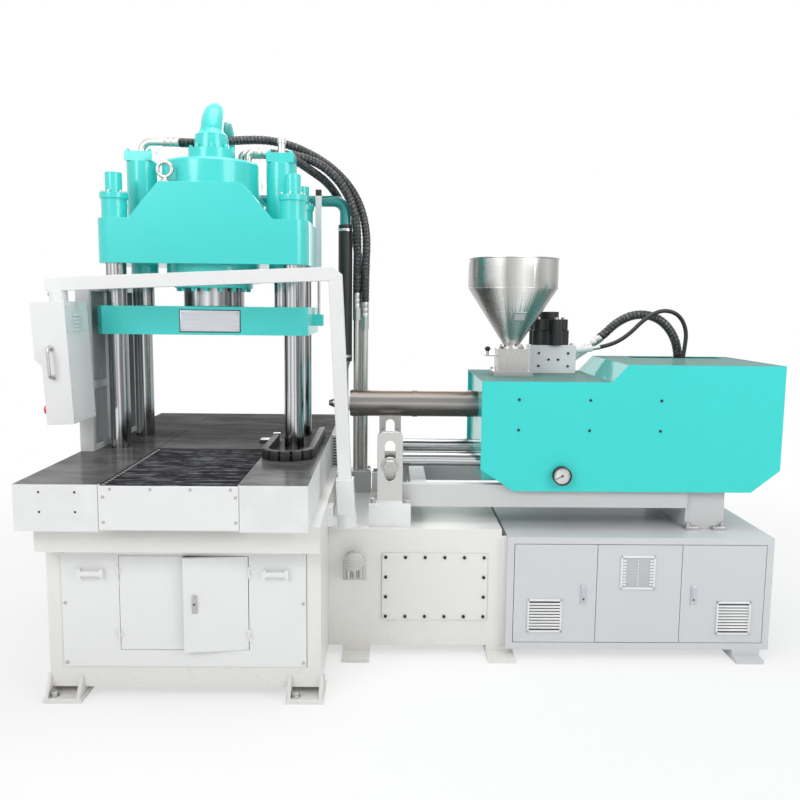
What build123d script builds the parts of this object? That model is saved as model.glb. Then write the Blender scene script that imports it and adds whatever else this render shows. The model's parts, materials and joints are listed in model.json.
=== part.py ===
from build123d import *
import math
import os

os.makedirs("parts", exist_ok=True)

# A vertical-clamp injection moulding machine with a horizontal injection unit.
# Millimetres. Origin on the floor under the clamp axis, +X towards the injection unit,
# +Y to the back, +Z up.

# Common sizes
overrun = 5.0  # how far a cutting shape passes the face that it cuts
running_gap = 0.08  # radial clearance of a sliding or turning fit
seat_gap = 0.05  # radial clearance of a seated round fit
part_gap = 0.3  # gap between faces of pieces that move past each other
sheet = 3.0  # folded sheet metal

# Press table
table_height = 960.0
table_width = 1150.0
table_length = 2060.0
fascia_height = 188.0
channel_width = 540.0
channel_x = 30.0  # the slide channel lies a little right of the clamp axis
channel_depth = 110.0
rail_width = 100.0
rail_height = 40.0
rail_offset = 190.0
panel_thickness = 12.0
panel_width = 552.0
panel_margin = 6.0

# Press base
skirt_height = 109.0
skirt_width = 1150.0
skirt_length = 1904.0
base_width = 1140.0
base_x = 40.0  # the base stands right of the clamp axis
base_length = 1720.0
base_wall = 12.0
foot_height = 50.0
foot_plate_width = 160.0
foot_plate_depth = 180.0
foot_plate_thickness = 20.0
foot_reach = 55.0
foot_inset = 65.0
gusset_thickness = 14.0
gusset_height = 60.0
anchor_hole = 22.0
anchor_hole_x = 505.0  # from the clamp axis

# Front panel and doors of the press base
front_panel_width = 1020.0
front_panel_height = 520.0
front_panel_bottom = 140.0
front_panel_thickness = 4.0
base_door_width = 266.0
base_door_height = 405.0
base_door_bottom = 216.0
base_door_gap = 2.0
base_door_return = 16.0
base_door_ajar = 7.0  # degrees, right leaf stands open
door_rebate = 18.0
knuckle_diameter = 10.0
knuckle_length = 16.0
knuckle_gap = 0.5
knuckle_inset = 2.0
knuckle_strap = 14.0
hinge_pin = 5.0
hinge_margin = 66.0
pull_width = 107.0
pull_height = 37.0
pull_proud = 22.0
pull_post = 14.0
pull_bar = 20.0
pull_bar_thickness = 7.0
pull_offset = 383.0
pull_centre_height = 550.0

# Columns and nuts
column_diameter = 95.0
column_margin_x = 76.0  # from the platen's side to the column axis
column_margin_y = 87.0  # from the platen's front to the column axis
column_foot = 72.0
stud_diameter = 78.0
stud_length = 95.0
nut_diameter = 118.0
nut_height = 91.0
nut_flange_diameter = 132.0
nut_flange_height = 28.0
lower_nut_height = 60.0

# Platens
top_platen_bottom = 1850.0
top_platen_shoulder = 210.0
top_platen_boss = 76.0
rib_rise = 167.0
rib_thickness = 70.0
rib_top_width = 390.0
rib_nut_gap = 22.0
ring_diameter = 520.0
ring_rise = 90.0
platen_bottom = 1516.0
platen_thickness = 134.0
platen_width = 1000.0
platen_depth = 570.0
platen_chamfer = 30.0
mould_hole = 20.0
mould_hole_depth = 45.0
mould_hole_x = 500.0
mould_hole_y = 280.0
lug_width = 60.0
lug_height = 60.0
lug_reach = 40.0
lug_y = 150.0

# Main cylinder and boosters
ram_diameter = 300.0
ram_length = 650.0
cylinder_diameter = 457.0
cylinder_head_diameter = 480.0
cylinder_bottom = 1765.0
cylinder_top = 2350.0
cylinder_cap = 40.0
cylinder_chamfer = 12.0
gland_diameter = 390.0
gland_height = 25.0
port_diameter = 90.0
port_fitting_diameter = 56.0
port_fitting_height = 20.0
port_fitting_1 = (120.0, 140.0)
port_fitting_2 = (165.0, 90.0)
port_elbow_rise = 75.0
port_elbow_reach = 30.0
port_elbow_radius = 24.0
booster_x = 345.0
booster_diameter = 150.0
booster_neck_diameter = 133.0
booster_bottom = 1790.0
booster_body_top = 2354.0
booster_head_width = 135.0
booster_head_height = 46.0
booster_rod_diameter = 85.0
booster_rod_length = 660.0
elbow_tube_diameter = 36.0
elbow_rise = 55.0
elbow_radius = 46.0
elbow_reach = 105.0
stub_cap_diameter = 46.0
stub_cap_height = 24.0

# Prefill valve and return line
valve_disc_diameter = 230.0
valve_disc_height = 67.0
valve_flange_diameter = 168.0
valve_flange_height = 55.0
pipe_diameter = 110.0
pipe_bore = 98.0
pipe_rise = 148.0
pipe_bend = 146.0
pipe_back = 340.0
pipe_end_height = 2330.0
pipe_flange_diameter = 160.0
pipe_flange_height = 20.0
return_diameter = 60.0
return_bore = 52.0
return_height = 2220.0
return_bend = 62.0
return_x = 644.0
return_end = 2034.0
hose_diameter = 76.0
hose_top = 2094.0
hose_bottom = 1354.0
drop_pipe_diameter = 38.0
drop_spigot_length = 60.0
drop_cone_length = 40.0

# Riser pipes and their manifold
riser_diameter = 36.0
riser_fitting_width = 42.0
riser_fitting_length = 70.0
riser_1 = (707.0, 350.0)
riser_2 = (753.0, 350.0)
riser_3 = (731.0, 400.0)
riser_1_top = 1650.0
riser_2_top = 1600.0
riser_3_top = 1660.0
manifold_x = (624.0, 790.0)
manifold_y = (296.0, 428.0)
manifold_height = 120.0

# Travel sensor beside the top platen
sensor_width = 32.0
sensor_bottom = 1852.0
sensor_length = 370.0
sensor_cap_height = 30.0
sensor_cap_width = 26.0
sensor_rod_diameter = 14.0
sensor_rod_top = 2206.0

# Slide table, its bellows and its cable chain
slide_thickness = 70.0
slide_front = -232.0
slide_side_gap = 2.0
bellows_bottom = 905.0
bellows_height = 50.0
bellows_skin = 4.0
bellows_folds = 24
chain_loop_width = 212.0
chain_bend_y = -430.0
chain_height = 46.0
chain_thickness = 30.0
chain_left_run = 384.0
chain_right_run = 624.0
chain_pitch = 48.0
chain_link_length = 42.0
chain_web = 12.0
chain_bracket_lift = 2.0
chain_bracket_length = 70.0
chain_bracket_thickness = 10.0

# Guard on the left side of the mould space
guard_depth = 65.0
guard_length = 660.0
guard_height = 785.0
guard_lip = 28.0
guard_bar_width = 40.0
guard_bar_depth = 22.0
guard_window_bottom_share = 0.36

# Swing arm of the control box
arm_lean = 2.7  # degrees, the arm leans to the left
arm_x = 698.0
arm_y = -510.0
arm_foot_height = 717.0
arm_profile = 60.0
arm_edge = 5.0
arm_collar = 80.0
arm_collar_height = 160.0
arm_post_length = 1055.0
arm_reach = 1228.0
arm_corner_cut = 36.0
arm_neck_radius = 40.0
arm_neck_drop = 49.0
arm_head_overhang = 46.0
pivot_pin_diameter = 40.0
pivot_pin_height = 120.0
pivot_boss_radius = 44.0
pivot_boss_height = 60.0
bracket_width = 84.0
bracket_height = 90.0
bracket_plate_thickness = 24.0
spigot_diameter = 40.0
spigot_height = 32.0

# Control box
box_width = 147.0
box_step = 30.0
box_depth = 260.0
box_lift = 476.0  # underside of the box above the arm's foot
box_upper_share = 0.4623
box_step_drop = 30.0
handle_height = 138.0
handle_reach = 42.0
handle_bar = 14.0
handle_drop = 260.0
estop_head_diameter = 40.0
estop_head_height = 16.0
estop_stem_diameter = 22.0
estop_stem_length = 24.0
estop_travel_gap = 8.0
estop_height = 62.0
estop_y = -80.0

# Oil tank under the injection unit
tank_right = 1427.0
tank_front = -430.0
tank_back = 430.0
tank_top = 620.0
tank_wall = 6.0
tank_foot_width = 130.0
tank_foot_depth = 110.0
tank_foot_reach = 90.0
tank_foot_1 = 741.0
tank_foot_2 = 1428.0
hatch_left = 862.0
hatch_bottom = 178.0
hatch_width = 500.0
hatch_height = 325.0
hatch_rim = 40.0
hatch_thickness = 8.0
filler_x = 733.0
filler_z = 480.0
filler_diameter = 85.0
filler_length = 46.0
filler_neck_diameter = 52.0
filler_neck_length = 26.0

# Electrical cabinet
cabinet_left = 1450.0
cabinet_right = 2705.0
cabinet_front = -470.0
cabinet_back = 430.0
cabinet_top = 595.0
cabinet_frame = 32.0
cabinet_door_thickness = 20.0
cabinet_door_gap = 3.0
cabinet_seat = 22.0  # lip behind the free edges of a door
cabinet_split_1 = 1874.0
cabinet_split_2 = 2274.0
cabinet_foot_x = 2600.0
door_pivot_inset = 20.0
door_pivot_diameter = 8.0
door_pivot_length = 12.0
vent_size = 162.0
vent_slot_height = 7.0
vent_slots = 8
vent_margin = 22.0
vent_left_x = 1631.0
vent_left_z = 216.0
vent_centre_x = 2065.0
vent_centre_z = 428.0
vent_right_x = 2528.0
vent_right_z = 208.0

# Injection unit bed
bed_left = 958.0
bed_right = 2340.0
bed_bottom = 700.0
bed_top = 810.0
bed_outer = 320.0
bed_beam = 50.0
bed_cross = 80.0
pedestal_length = 188.0
pedestal_top = 775.0
pedestal_depth = 300.0
rod_diameter = 75.0
rod_y = 199.0
rod_height = 912.0
rod_block_depth = 520.0
rod_block_top = 965.0

# Slotted brackets at the left end of the bed
bracket_base_left = 797.0
bracket_base_right = 996.0
bracket_base_depth = 80.0
bracket_base_top = 729.0
slot_plate_left = 836.0
slot_plate_right = 957.0
slot_plate_top = 1072.0
slot_plate_thickness = 40.0
slot_width = 50.0
slot_bottom = 838.0
slot_top = 1030.0
end_block_bottom = 850.0
end_block_top = 975.0
end_block_inset = 4.0
clamp_stud_diameter = 40.0
clamp_stud_length = 75.0

# Injection cover
cover_left = 1328.0
cover_right = 2768.0
cover_half_depth = 350.0
cover_bottom = 785.0
cover_low_top = 1313.0
cover_high_top = 1396.0
cover_step_start = 1943.0
cover_step_end = 2020.0
cover_left_cut = (159.0, 105.0)
cover_right_cut = (135.0, 108.0)
hose_opening_x = (2200.0, 2700.0)
hose_opening_y = (200.0, 330.0)

# Injection housing, barrel and screw
shot_height = 1163.0
housing_plate_left = 1345.0
housing_plate_thickness = 50.0
housing_plate_half_depth = 335.0
housing_bottom = 820.0
housing_block_length = 245.0
housing_block_half_depth = 260.0
shot_cylinder_diameter = 130.0
shot_cylinder_length = 340.0
shot_cylinder_y = 185.0
shot_rod_diameter = 60.0
shot_rod_length = 320.0
barrel_left = 690.0
barrel_diameter = 134.0
barrel_right = 1590.0
barrel_seam = 1022.0
barrel_seam_width = 4.0
barrel_seam_depth = 2.0
screw_diameter = 46.0
screw_shank_diameter = 60.0
screw_tip_length = 40.0
screw_front_gap = 14.0
nozzle_tip = 580.0
nozzle_tip_radius = 13.0
nozzle_cone_length = 26.0
nozzle_body_radius = 24.0
nozzle_hex = 76.0
nozzle_hex_length = 38.0
nozzle_bore = 8.0
crosshead_left = 2010.0
crosshead_thickness = 50.0
crosshead_half_depth = 260.0
crosshead_top = 1260.0
crosshead_bottom = 850.0
motor_diameter = 220.0
motor_length = 230.0
throat_diameter = 64.0

# Hopper and its slide base
hopper_x = 1513.0
hopper_diameter = 452.0
hopper_rim_height = 1903.0
hopper_cylinder_bottom = 1755.0
hopper_neck_diameter = 82.0
hopper_neck_bottom = 1452.0
hopper_neck_length = 18.0
hopper_wall = 2.5
hopper_flange_diameter = 130.0
hopper_flange_thickness = 10.0
hopper_base_width = 150.0
hopper_base_foot_width = 196.0
hopper_base_foot_height = 26.0
gate_thickness = 8.0
gate_width = 92.0
gate_height = 1412.0
gate_reach = 130.0
gate_tail = 60.0
gate_pin_diameter = 14.0
gate_pin_height = 36.0

# Valve group on the cover
valve_block_x = (1640.0, 1880.0)
valve_block_y = (140.0, 300.0)
valve_block_top = 1462.0
thick_fitting_diameter = 54.0
thick_fitting_length = 112.0
thin_fitting_diameter = 34.0
thin_fitting_length = 98.0
motor_valve_x = 1745.0
motor_valve_y = 220.0
lobe_count = 5
lobe_diameter = 66.0
lower_body_diameter = 168.0
lower_body_height = 78.0
lower_lobe_ring = 77.0
upper_body_diameter = 150.0
upper_body_height = 58.0
upper_lobe_ring = 70.0
valve_cap_diameter = 105.0
valve_cap_height = 40.0

# Pressure gauge
gauge_x = 1715.0
gauge_z = 866.0
gauge_diameter = 88.0
gauge_depth = 34.0
gauge_rim = 5.0
gauge_recess = 8.0
needle_length = 30.0
needle_tail = 10.0
needle_width = 3.0
needle_thickness = 1.5
needle_hub_diameter = 9.0
needle_pin_diameter = 3.0
needle_rest = 120.0  # degrees from straight up

# Routes of the free hoses, from fitting to fitting
top_hose_diameter = 42.0
top_hose_1_route = [
    (-240, 0, 2455), (-198, 0, 2455), (-155, 13, 2456), (-117, 38, 2459), (-88, 72, 2464),
    (-30, 130, 2480), (90, 226, 2512), (240, 292, 2530), (400, 328, 2496), (570, 350, 2406),
    (704, 354, 2262), (764, 354, 2070), (753, 350, 1835), (753, 350, 1600),
]
top_hose_2_route = [
    (150, 140, 2425), (216, 140, 2425), (330, 176, 2436), (440, 222, 2428), (545, 262, 2384),
    (640, 284, 2288), (702, 304, 2150), (712, 332, 1995), (707, 350, 1822), (707, 350, 1650),
]
top_hose_3_route = [
    (195, 90, 2425), (262, 90, 2425), (325, 108, 2420), (395, 160, 2405), (472, 246, 2362),
    (545, 322, 2320), (605, 402, 2245), (668, 440, 2110), (708, 428, 1965), (731, 400, 1810),
    (731, 400, 1660),
]
thick_hose_diameter = 46.0
thick_hose_route = [
    (1968, 262, 1450), (2040, 262, 1500), (2128, 262, 1590), (2238, 262, 1634), (2356, 262, 1610),
    (2440, 262, 1520), (2472, 262, 1406), (2474, 262, 1300),
]
thin_hose_diameter = 22.0
thin_hose_route = [
    (1972, 172, 1446), (2060, 173, 1458), (2160, 178, 1512), (2252, 186, 1606), (2346, 194, 1656),
    (2440, 202, 1634), (2490, 208, 1548), (2484, 212, 1440), (2470, 213, 1340),
]


def span_box(x_range, y_range, z_range, mode=Mode.ADD):
    """Add or cut the block that fills three ranges."""
    ranges = (x_range, y_range, z_range)
    with Locations(tuple((low + high) / 2 for low, high in ranges)):
        Box(*(high - low for low, high in ranges), mode=mode)


def both_sides(low, high):
    """Give a range and its mirror image about zero."""
    return (low, high), (-high, -low)


def bar(origin, direction, diameter, length, mode=Mode.ADD):
    """Add or cut a round bar that starts at a point and runs along a direction."""
    with Locations(Plane(origin=origin, z_dir=direction)):
        Cylinder(diameter / 2, length, align=(Align.CENTER, Align.CENTER, Align.MIN), mode=mode)


def corner_places(x, y, z, centre_x=0):
    """Give the four places at plus and minus x and y about a middle line."""
    return [(centre_x + sx * x, sy * y, z) for sx in (-1, 1) for sy in (-1, 1)]


def route_radii(route):
    """Give the largest fair bend at each inner point of a hose route."""
    points = [Vector(*point) for point in route]
    bend_share = 0.45
    radii = []
    for before, here, after in zip(points, points[1:], points[2:]):
        turn = math.radians((here - before).get_angle(after - here))
        shorter = min((here - before).length, (after - here).length)
        radii.append(bend_share * shorter / math.tan(turn / 2))
    return radii


def route_tube(name, route, diameter):
    """Make the plain tube of a free hose and report its bends and volume."""
    radii = route_radii(route)
    with BuildPart() as tube:
        with BuildLine() as path:
            FilletPolyline(*route, radius=radii)
        start = path.line @ 0
        with BuildSketch(Plane(origin=start, z_dir=path.line % 0)):
            Circle(diameter / 2)
        sweep(path=path.line)
    section = math.pi * diameter**2 / 4
    length = path.wire().length
    fill = tube.part.volume / (section * length)
    print(name, "length", round(length), "radii", [round(r) for r in radii])
    print(name, "volume over section times length", round(fill, 4))
    return tube


# Places that several pieces share
table_bottom = table_height - fascia_height
channel_floor = table_height - channel_depth
half_table = table_width / 2
half_length = table_length / 2
skirt_bottom = table_bottom - skirt_height
half_base = base_width / 2
base_right = base_x + half_base
base_front = -base_length / 2
column_x = platen_width / 2 - column_margin_x
column_y = platen_depth / 2 - column_margin_y
top_shoulder = top_platen_bottom + top_platen_shoulder
top_half_width = column_x + top_platen_boss
top_half_depth = column_y + top_platen_boss
platen_top = platen_bottom + platen_thickness
ring_top = top_shoulder + ring_rise
nut_top = top_shoulder + nut_height + nut_flange_height
valve_top = cylinder_top + valve_disc_height + valve_flange_height
booster_top = booster_body_top + booster_head_height
column_bottom = table_bottom - column_foot

# Welded press base with its skirt, feet and anchor holes
with BuildPart() as press_base:
    span_box((base_x - half_base, base_right), (base_front, -base_front), (foot_height, skirt_bottom))
    span_box(
        (base_x - skirt_width / 2, base_x + skirt_width / 2),
        (-skirt_length / 2, skirt_length / 2),
        (skirt_bottom, table_bottom),
    )
    inner_x = half_base - base_wall
    inner_y = -base_front - base_wall
    span_box(
        (base_x - inner_x, base_x + inner_x),
        (-inner_y, inner_y),
        (foot_height + base_wall, table_bottom + overrun),
        mode=Mode.SUBTRACT,
    )
    span_box(
        (base_x - base_door_width - door_rebate, base_x + base_door_width + door_rebate),
        (base_front - overrun, base_front + base_wall + overrun),
        (base_door_bottom - door_rebate, base_door_bottom + base_door_height + door_rebate),
        mode=Mode.SUBTRACT,
    )
    foot_y = -base_front + foot_reach - foot_plate_depth / 2
    foot_x = half_base - foot_inset
    with Locations(*corner_places(foot_x, foot_y, foot_plate_thickness / 2, base_x)):
        Box(foot_plate_width, foot_plate_depth, foot_plate_thickness)
    gusset_x = foot_plate_width / 2 - gusset_thickness
    for side in (-1, 1):
        for offset_x in (-gusset_x, gusset_x):
            with BuildSketch(Plane.YZ.offset(base_x + side * foot_x + offset_x)):
                with BuildLine():
                    Polyline(
                        (base_front - foot_reach, foot_plate_thickness),
                        (base_front - foot_reach + foot_plate_depth, foot_plate_thickness),
                        (base_front - foot_reach + foot_plate_depth, foot_height),
                        (base_front, foot_height),
                        (base_front, foot_height + gusset_height),
                        close=True,
                    )
                make_face()
                mirror(about=Plane.YZ)
            extrude(amount=gusset_thickness / 2, both=True)
    with Locations(*corner_places(anchor_hole_x, -base_front + foot_reach / 2, -overrun)):
        Cylinder(
            anchor_hole / 2,
            foot_plate_thickness + 2 * overrun,
            align=(Align.CENTER, Align.CENTER, Align.MIN),
            mode=Mode.SUBTRACT,
        )
press_base.part.label = "press_base"
export_step(press_base.part, "parts/press_base.step")

# Hinge line of the base doors, in front of the panel beside the door opening
opening = base_door_width + 2 * base_door_gap
hinge_x = opening + knuckle_inset
hinge_y = base_front - front_panel_thickness - knuckle_diameter / 2 - knuckle_gap
hinge_heights = (
    base_door_bottom + hinge_margin,
    base_door_bottom + base_door_height - hinge_margin,
)

# Front panel of the base with its door opening, two seated pulls and the fixed hinge halves
with BuildPart() as base_front_panel:
    panel_range = (base_front - front_panel_thickness, base_front)
    span_box(
        (base_x - front_panel_width / 2, base_x + front_panel_width / 2),
        panel_range,
        (front_panel_bottom, front_panel_bottom + front_panel_height),
    )
    span_box(
        (base_x - opening, base_x + opening),
        (panel_range[0] - overrun, panel_range[1] + overrun),
        (base_door_bottom - base_door_gap, base_door_bottom + base_door_height + base_door_gap),
        mode=Mode.SUBTRACT,
    )
    pull_front = panel_range[0] - pull_proud
    for pull_x in (base_x - pull_offset, base_x + pull_offset):
        for post_x in (pull_x - (pull_width - pull_post) / 2, pull_x + (pull_width - pull_post) / 2):
            span_box(
                (post_x - pull_post / 2, post_x + pull_post / 2),
                (pull_front, panel_range[0] - seat_gap),
                (pull_centre_height - pull_height / 2, pull_centre_height + pull_height / 2),
            )
        span_box(
            (pull_x - pull_width / 2, pull_x + pull_width / 2),
            (pull_front, pull_front + pull_bar_thickness),
            (pull_centre_height - pull_bar / 2, pull_centre_height + pull_bar / 2),
        )
    for side in (-1, 1):
        for hinge_z in hinge_heights:
            low = hinge_z - knuckle_length / 2
            bar(
                (base_x + side * hinge_x, hinge_y, low - knuckle_length),
                (0, 0, 1),
                hinge_pin,
                3 * knuckle_length,
            )
            for end in (low - knuckle_length, low + knuckle_length + part_gap):
                bar(
                    (base_x + side * hinge_x, hinge_y, end),
                    (0, 0, 1),
                    knuckle_diameter,
                    knuckle_length - part_gap,
                )
                with Locations((base_x + side * opening, hinge_y, end)):
                    Box(
                        knuckle_strap,
                        panel_range[0] - hinge_y + front_panel_thickness / 2,
                        knuckle_length - part_gap,
                        align=(Align.MIN if side > 0 else Align.MAX, Align.MIN, Align.MIN),
                    )
base_front_panel.part.label = "base_front_panel"
export_step(base_front_panel.part, "parts/base_front_panel.step")


def vent_slots_cut(x, z, front, depth):
    """Cut a square of ventilation slots through a sheet."""
    pitch = (vent_size - 2 * vent_margin) / (vent_slots - 1)
    for row in range(vent_slots):
        slot_z = z - vent_size / 2 + vent_margin + row * pitch
        span_box(
            (x - vent_size / 2 + vent_margin, x + vent_size / 2 - vent_margin),
            (front - overrun, front + depth + overrun),
            (slot_z - vent_slot_height / 2, slot_z + vent_slot_height / 2),
            mode=Mode.SUBTRACT,
        )


def door_pan(width, bottom, height, depth, skin, reach):
    """Make a folded door leaf from its hinge edge at zero along reach, 1 right or -1 left."""
    with Locations((reach * width / 2, depth / 2, bottom + height / 2)):
        Box(width, depth, height)
    with Locations((reach * width / 2, (depth + skin) / 2, bottom + height / 2)):
        Box(width - 2 * skin, depth - skin, height - 2 * skin, mode=Mode.SUBTRACT)


def knuckle_door(reach):
    """Make a leaf of the base door with its hinge halves, about its hinge line at zero."""
    edge = hinge_x - base_door_width - base_door_gap
    face = base_front - front_panel_thickness - hinge_y
    with Locations((reach * edge, face, 0)):
        door_pan(
            base_door_width,
            base_door_bottom,
            base_door_height,
            front_panel_thickness + base_door_return,
            sheet,
            reach,
        )
    for hinge_z in hinge_heights:
        low = hinge_z - knuckle_length / 2
        bar((0, 0, low), (0, 0, 1), knuckle_diameter, knuckle_length)
        strap_start = knuckle_inset + part_gap
        with Locations((reach * (strap_start + knuckle_strap / 2), face - sheet / 2, hinge_z)):
            Box(knuckle_strap, sheet, knuckle_length)
        bar(
            (0, 0, low - overrun),
            (0, 0, 1),
            hinge_pin + 2 * running_gap,
            knuckle_length + 2 * overrun,
            mode=Mode.SUBTRACT,
        )


# Two leaves of the base door, each hinged at its outer edge, the right one ajar
with BuildPart(Plane(origin=(base_x - hinge_x, hinge_y, 0))) as base_door_left:
    knuckle_door(1)
base_door_left.part.label = "base_door_left"
export_step(base_door_left.part, "parts/base_door_left.step")

ajar_plane = Plane(origin=(base_x + hinge_x, hinge_y, 0)).rotated((0, 0, base_door_ajar))
with BuildPart(ajar_plane) as base_door_right:
    knuckle_door(-1)
base_door_right.part.label = "base_door_right"
export_step(base_door_right.part, "parts/base_door_right.step")

# Table bed with the slide channel, its rails, column holes and panel recess
with BuildPart() as table_bed:
    span_box((-half_table, half_table), (-half_length, half_length), (table_bottom, table_height))
    span_box(
        (channel_x - channel_width / 2, channel_x + channel_width / 2),
        (-half_length - overrun, half_length + overrun),
        (channel_floor, table_height + overrun),
        mode=Mode.SUBTRACT,
    )
    span_box(
        (channel_x - panel_width / 2, channel_x + panel_width / 2),
        (-half_length - overrun, -half_length + panel_thickness),
        (table_bottom - overrun, table_height + overrun),
        mode=Mode.SUBTRACT,
    )
    for rail_centre in (channel_x - rail_offset, channel_x + rail_offset):
        span_box(
            (rail_centre - rail_width / 2, rail_centre + rail_width / 2),
            (-half_length + panel_thickness, half_length),
            (channel_floor, channel_floor + rail_height),
        )
    with Locations(*corner_places(column_x, column_y, table_bottom)):
        Cylinder(
            column_diameter / 2 + seat_gap,
            fascia_height + overrun,
            align=(Align.CENTER, Align.CENTER, Align.MIN),
            mode=Mode.SUBTRACT,
        )
table_bed.part.label = "table_bed"
export_step(table_bed.part, "parts/table_bed.step")

# Plate that closes the front of the slide channel
with BuildPart() as channel_panel:
    span_box(
        (channel_x - panel_width / 2 + base_door_gap, channel_x + panel_width / 2 - base_door_gap),
        (-half_length, -half_length + panel_thickness),
        (table_bottom + panel_margin, table_height - panel_margin),
    )
channel_panel.part.label = "channel_panel"
export_step(channel_panel.part, "parts/channel_panel.step")

# Slide plate on the channel rails, with the bracket that draws the cable chain
with BuildPart() as slide_plate:
    slide_half = channel_width / 2 - slide_side_gap
    slide_range = (channel_x - slide_half, channel_x + slide_half)
    span_box(
        slide_range,
        (slide_front, half_length),
        (table_height - slide_thickness, table_height),
    )
    chain_radius = chain_loop_width / 2
    chain_inner_x = column_x - chain_radius
    chain_end_y = chain_bend_y + chain_left_run
    arm_range = (slide_range[1] - chain_bracket_length, chain_inner_x + chain_thickness / 2)
    arm_bottom = table_height + chain_bracket_lift
    span_box(
        arm_range,
        (chain_end_y, chain_end_y + chain_bracket_length),
        (arm_bottom, arm_bottom + chain_bracket_thickness),
    )
    span_box(
        (arm_range[0], slide_range[1]),
        (chain_end_y, chain_end_y + chain_bracket_length),
        (table_height, arm_bottom),
    )
    span_box(
        (chain_inner_x - chain_thickness / 2, arm_range[1]),
        (chain_end_y, chain_end_y + chain_bracket_thickness),
        (arm_bottom, table_height + chain_height),
    )
slide_plate.part.label = "slide_plate"
export_step(slide_plate.part, "parts/slide_plate.step")

# Folded bellows between the front panel and the slide plate
with BuildPart() as bellows:
    bellows_front = -half_length + panel_thickness
    fold_pitch = (slide_front - bellows_front) / bellows_folds
    crest = bellows_bottom + bellows_height - bellows_skin
    skin_top = []
    for fold in range(bellows_folds):
        skin_top.append((bellows_front + fold * fold_pitch, bellows_bottom))
        skin_top.append((bellows_front + fold * fold_pitch + fold_pitch / 2, crest))
    skin_top.append((slide_front, bellows_bottom))
    skin_bottom = [(y, z + bellows_skin) for y, z in skin_top]
    with BuildSketch(Plane.YZ.offset(slide_range[0])):
        with BuildLine():
            Polyline(*skin_top, *reversed(skin_bottom), close=True)
        make_face()
    extrude(amount=2 * slide_half)
bellows.part.label = "bellows"
export_step(bellows.part, "parts/bellows.step")

# Cable chain laid on its side round the front right column
with BuildPart() as cable_chain:
    bend_steps = round(math.pi * chain_radius / chain_pitch)
    places = []
    for step in range(round(chain_left_run / chain_pitch)):
        places.append((chain_inner_x, chain_end_y - step * chain_pitch - chain_link_length / 2, 0))
    for step in range(bend_steps):
        turn = math.pi * (step + 1 / 2) / bend_steps
        bend_x = column_x - chain_radius * math.cos(turn)
        bend_y = chain_bend_y - chain_radius * math.sin(turn)
        places.append((bend_x, bend_y, math.degrees(turn)))
    for step in range(round(chain_right_run / chain_pitch)):
        places.append((column_x + chain_radius, chain_bend_y + (step + 1 / 2) * chain_pitch, 0))
    link_middle = table_height + chain_height / 2
    for index, (x, y, turn) in enumerate(places):
        with Locations(Location((x, y, link_middle), (0, 0, turn))):
            Box(chain_thickness, chain_link_length, chain_height)
        if index:
            before = Vector(*places[index - 1][:2])
            here = Vector(x, y)
            bar(
                (before.X, before.Y, link_middle),
                (here - before),
                chain_web,
                (here - before).length,
            )
cable_chain.part.label = "cable_chain"
export_step(cable_chain.part, "parts/cable_chain.step")

# Four columns, turned down to studs at the top
with BuildPart() as tie_bars:
    with Locations(*corner_places(column_x, column_y, column_bottom)):
        Cylinder(
            column_diameter / 2,
            nut_top - column_bottom,
            align=(Align.CENTER, Align.CENTER, Align.MIN),
        )
    with Locations(*corner_places(column_x, column_y, nut_top)):
        Cylinder(
            stud_diameter / 2,
            stud_length,
            align=(Align.CENTER, Align.CENTER, Align.MIN),
        )
tie_bars.part.label = "tie_bars"
export_step(tie_bars.part, "parts/tie_bars.step")

# Round nuts above the top platen and under the table
with BuildPart() as tie_bar_nuts:
    with BuildSketch(Plane.XY.offset(top_shoulder)):
        with Locations(*[(x, y) for x, y, z in corner_places(column_x, column_y, 0)]):
            Circle(nut_diameter / 2)
            Circle(column_diameter / 2 + seat_gap, mode=Mode.SUBTRACT)
    extrude(amount=nut_height)
    with BuildSketch(Plane.XY.offset(top_shoulder + nut_height)):
        with Locations(*[(x, y) for x, y, z in corner_places(column_x, column_y, 0)]):
            Circle(nut_flange_diameter / 2)
            Circle(column_diameter / 2 + seat_gap, mode=Mode.SUBTRACT)
    extrude(amount=nut_flange_height)
    with BuildSketch(Plane.XY.offset(table_bottom - lower_nut_height)):
        with Locations(*[(x, y) for x, y, z in corner_places(column_x, column_y, 0)]):
            Circle(nut_diameter / 2)
            Circle(column_diameter / 2 + seat_gap, mode=Mode.SUBTRACT)
    extrude(amount=lower_nut_height)
tie_bar_nuts.part.label = "tie_bar_nuts"
export_step(tie_bar_nuts.part, "parts/tie_bar_nuts.step")

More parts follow.
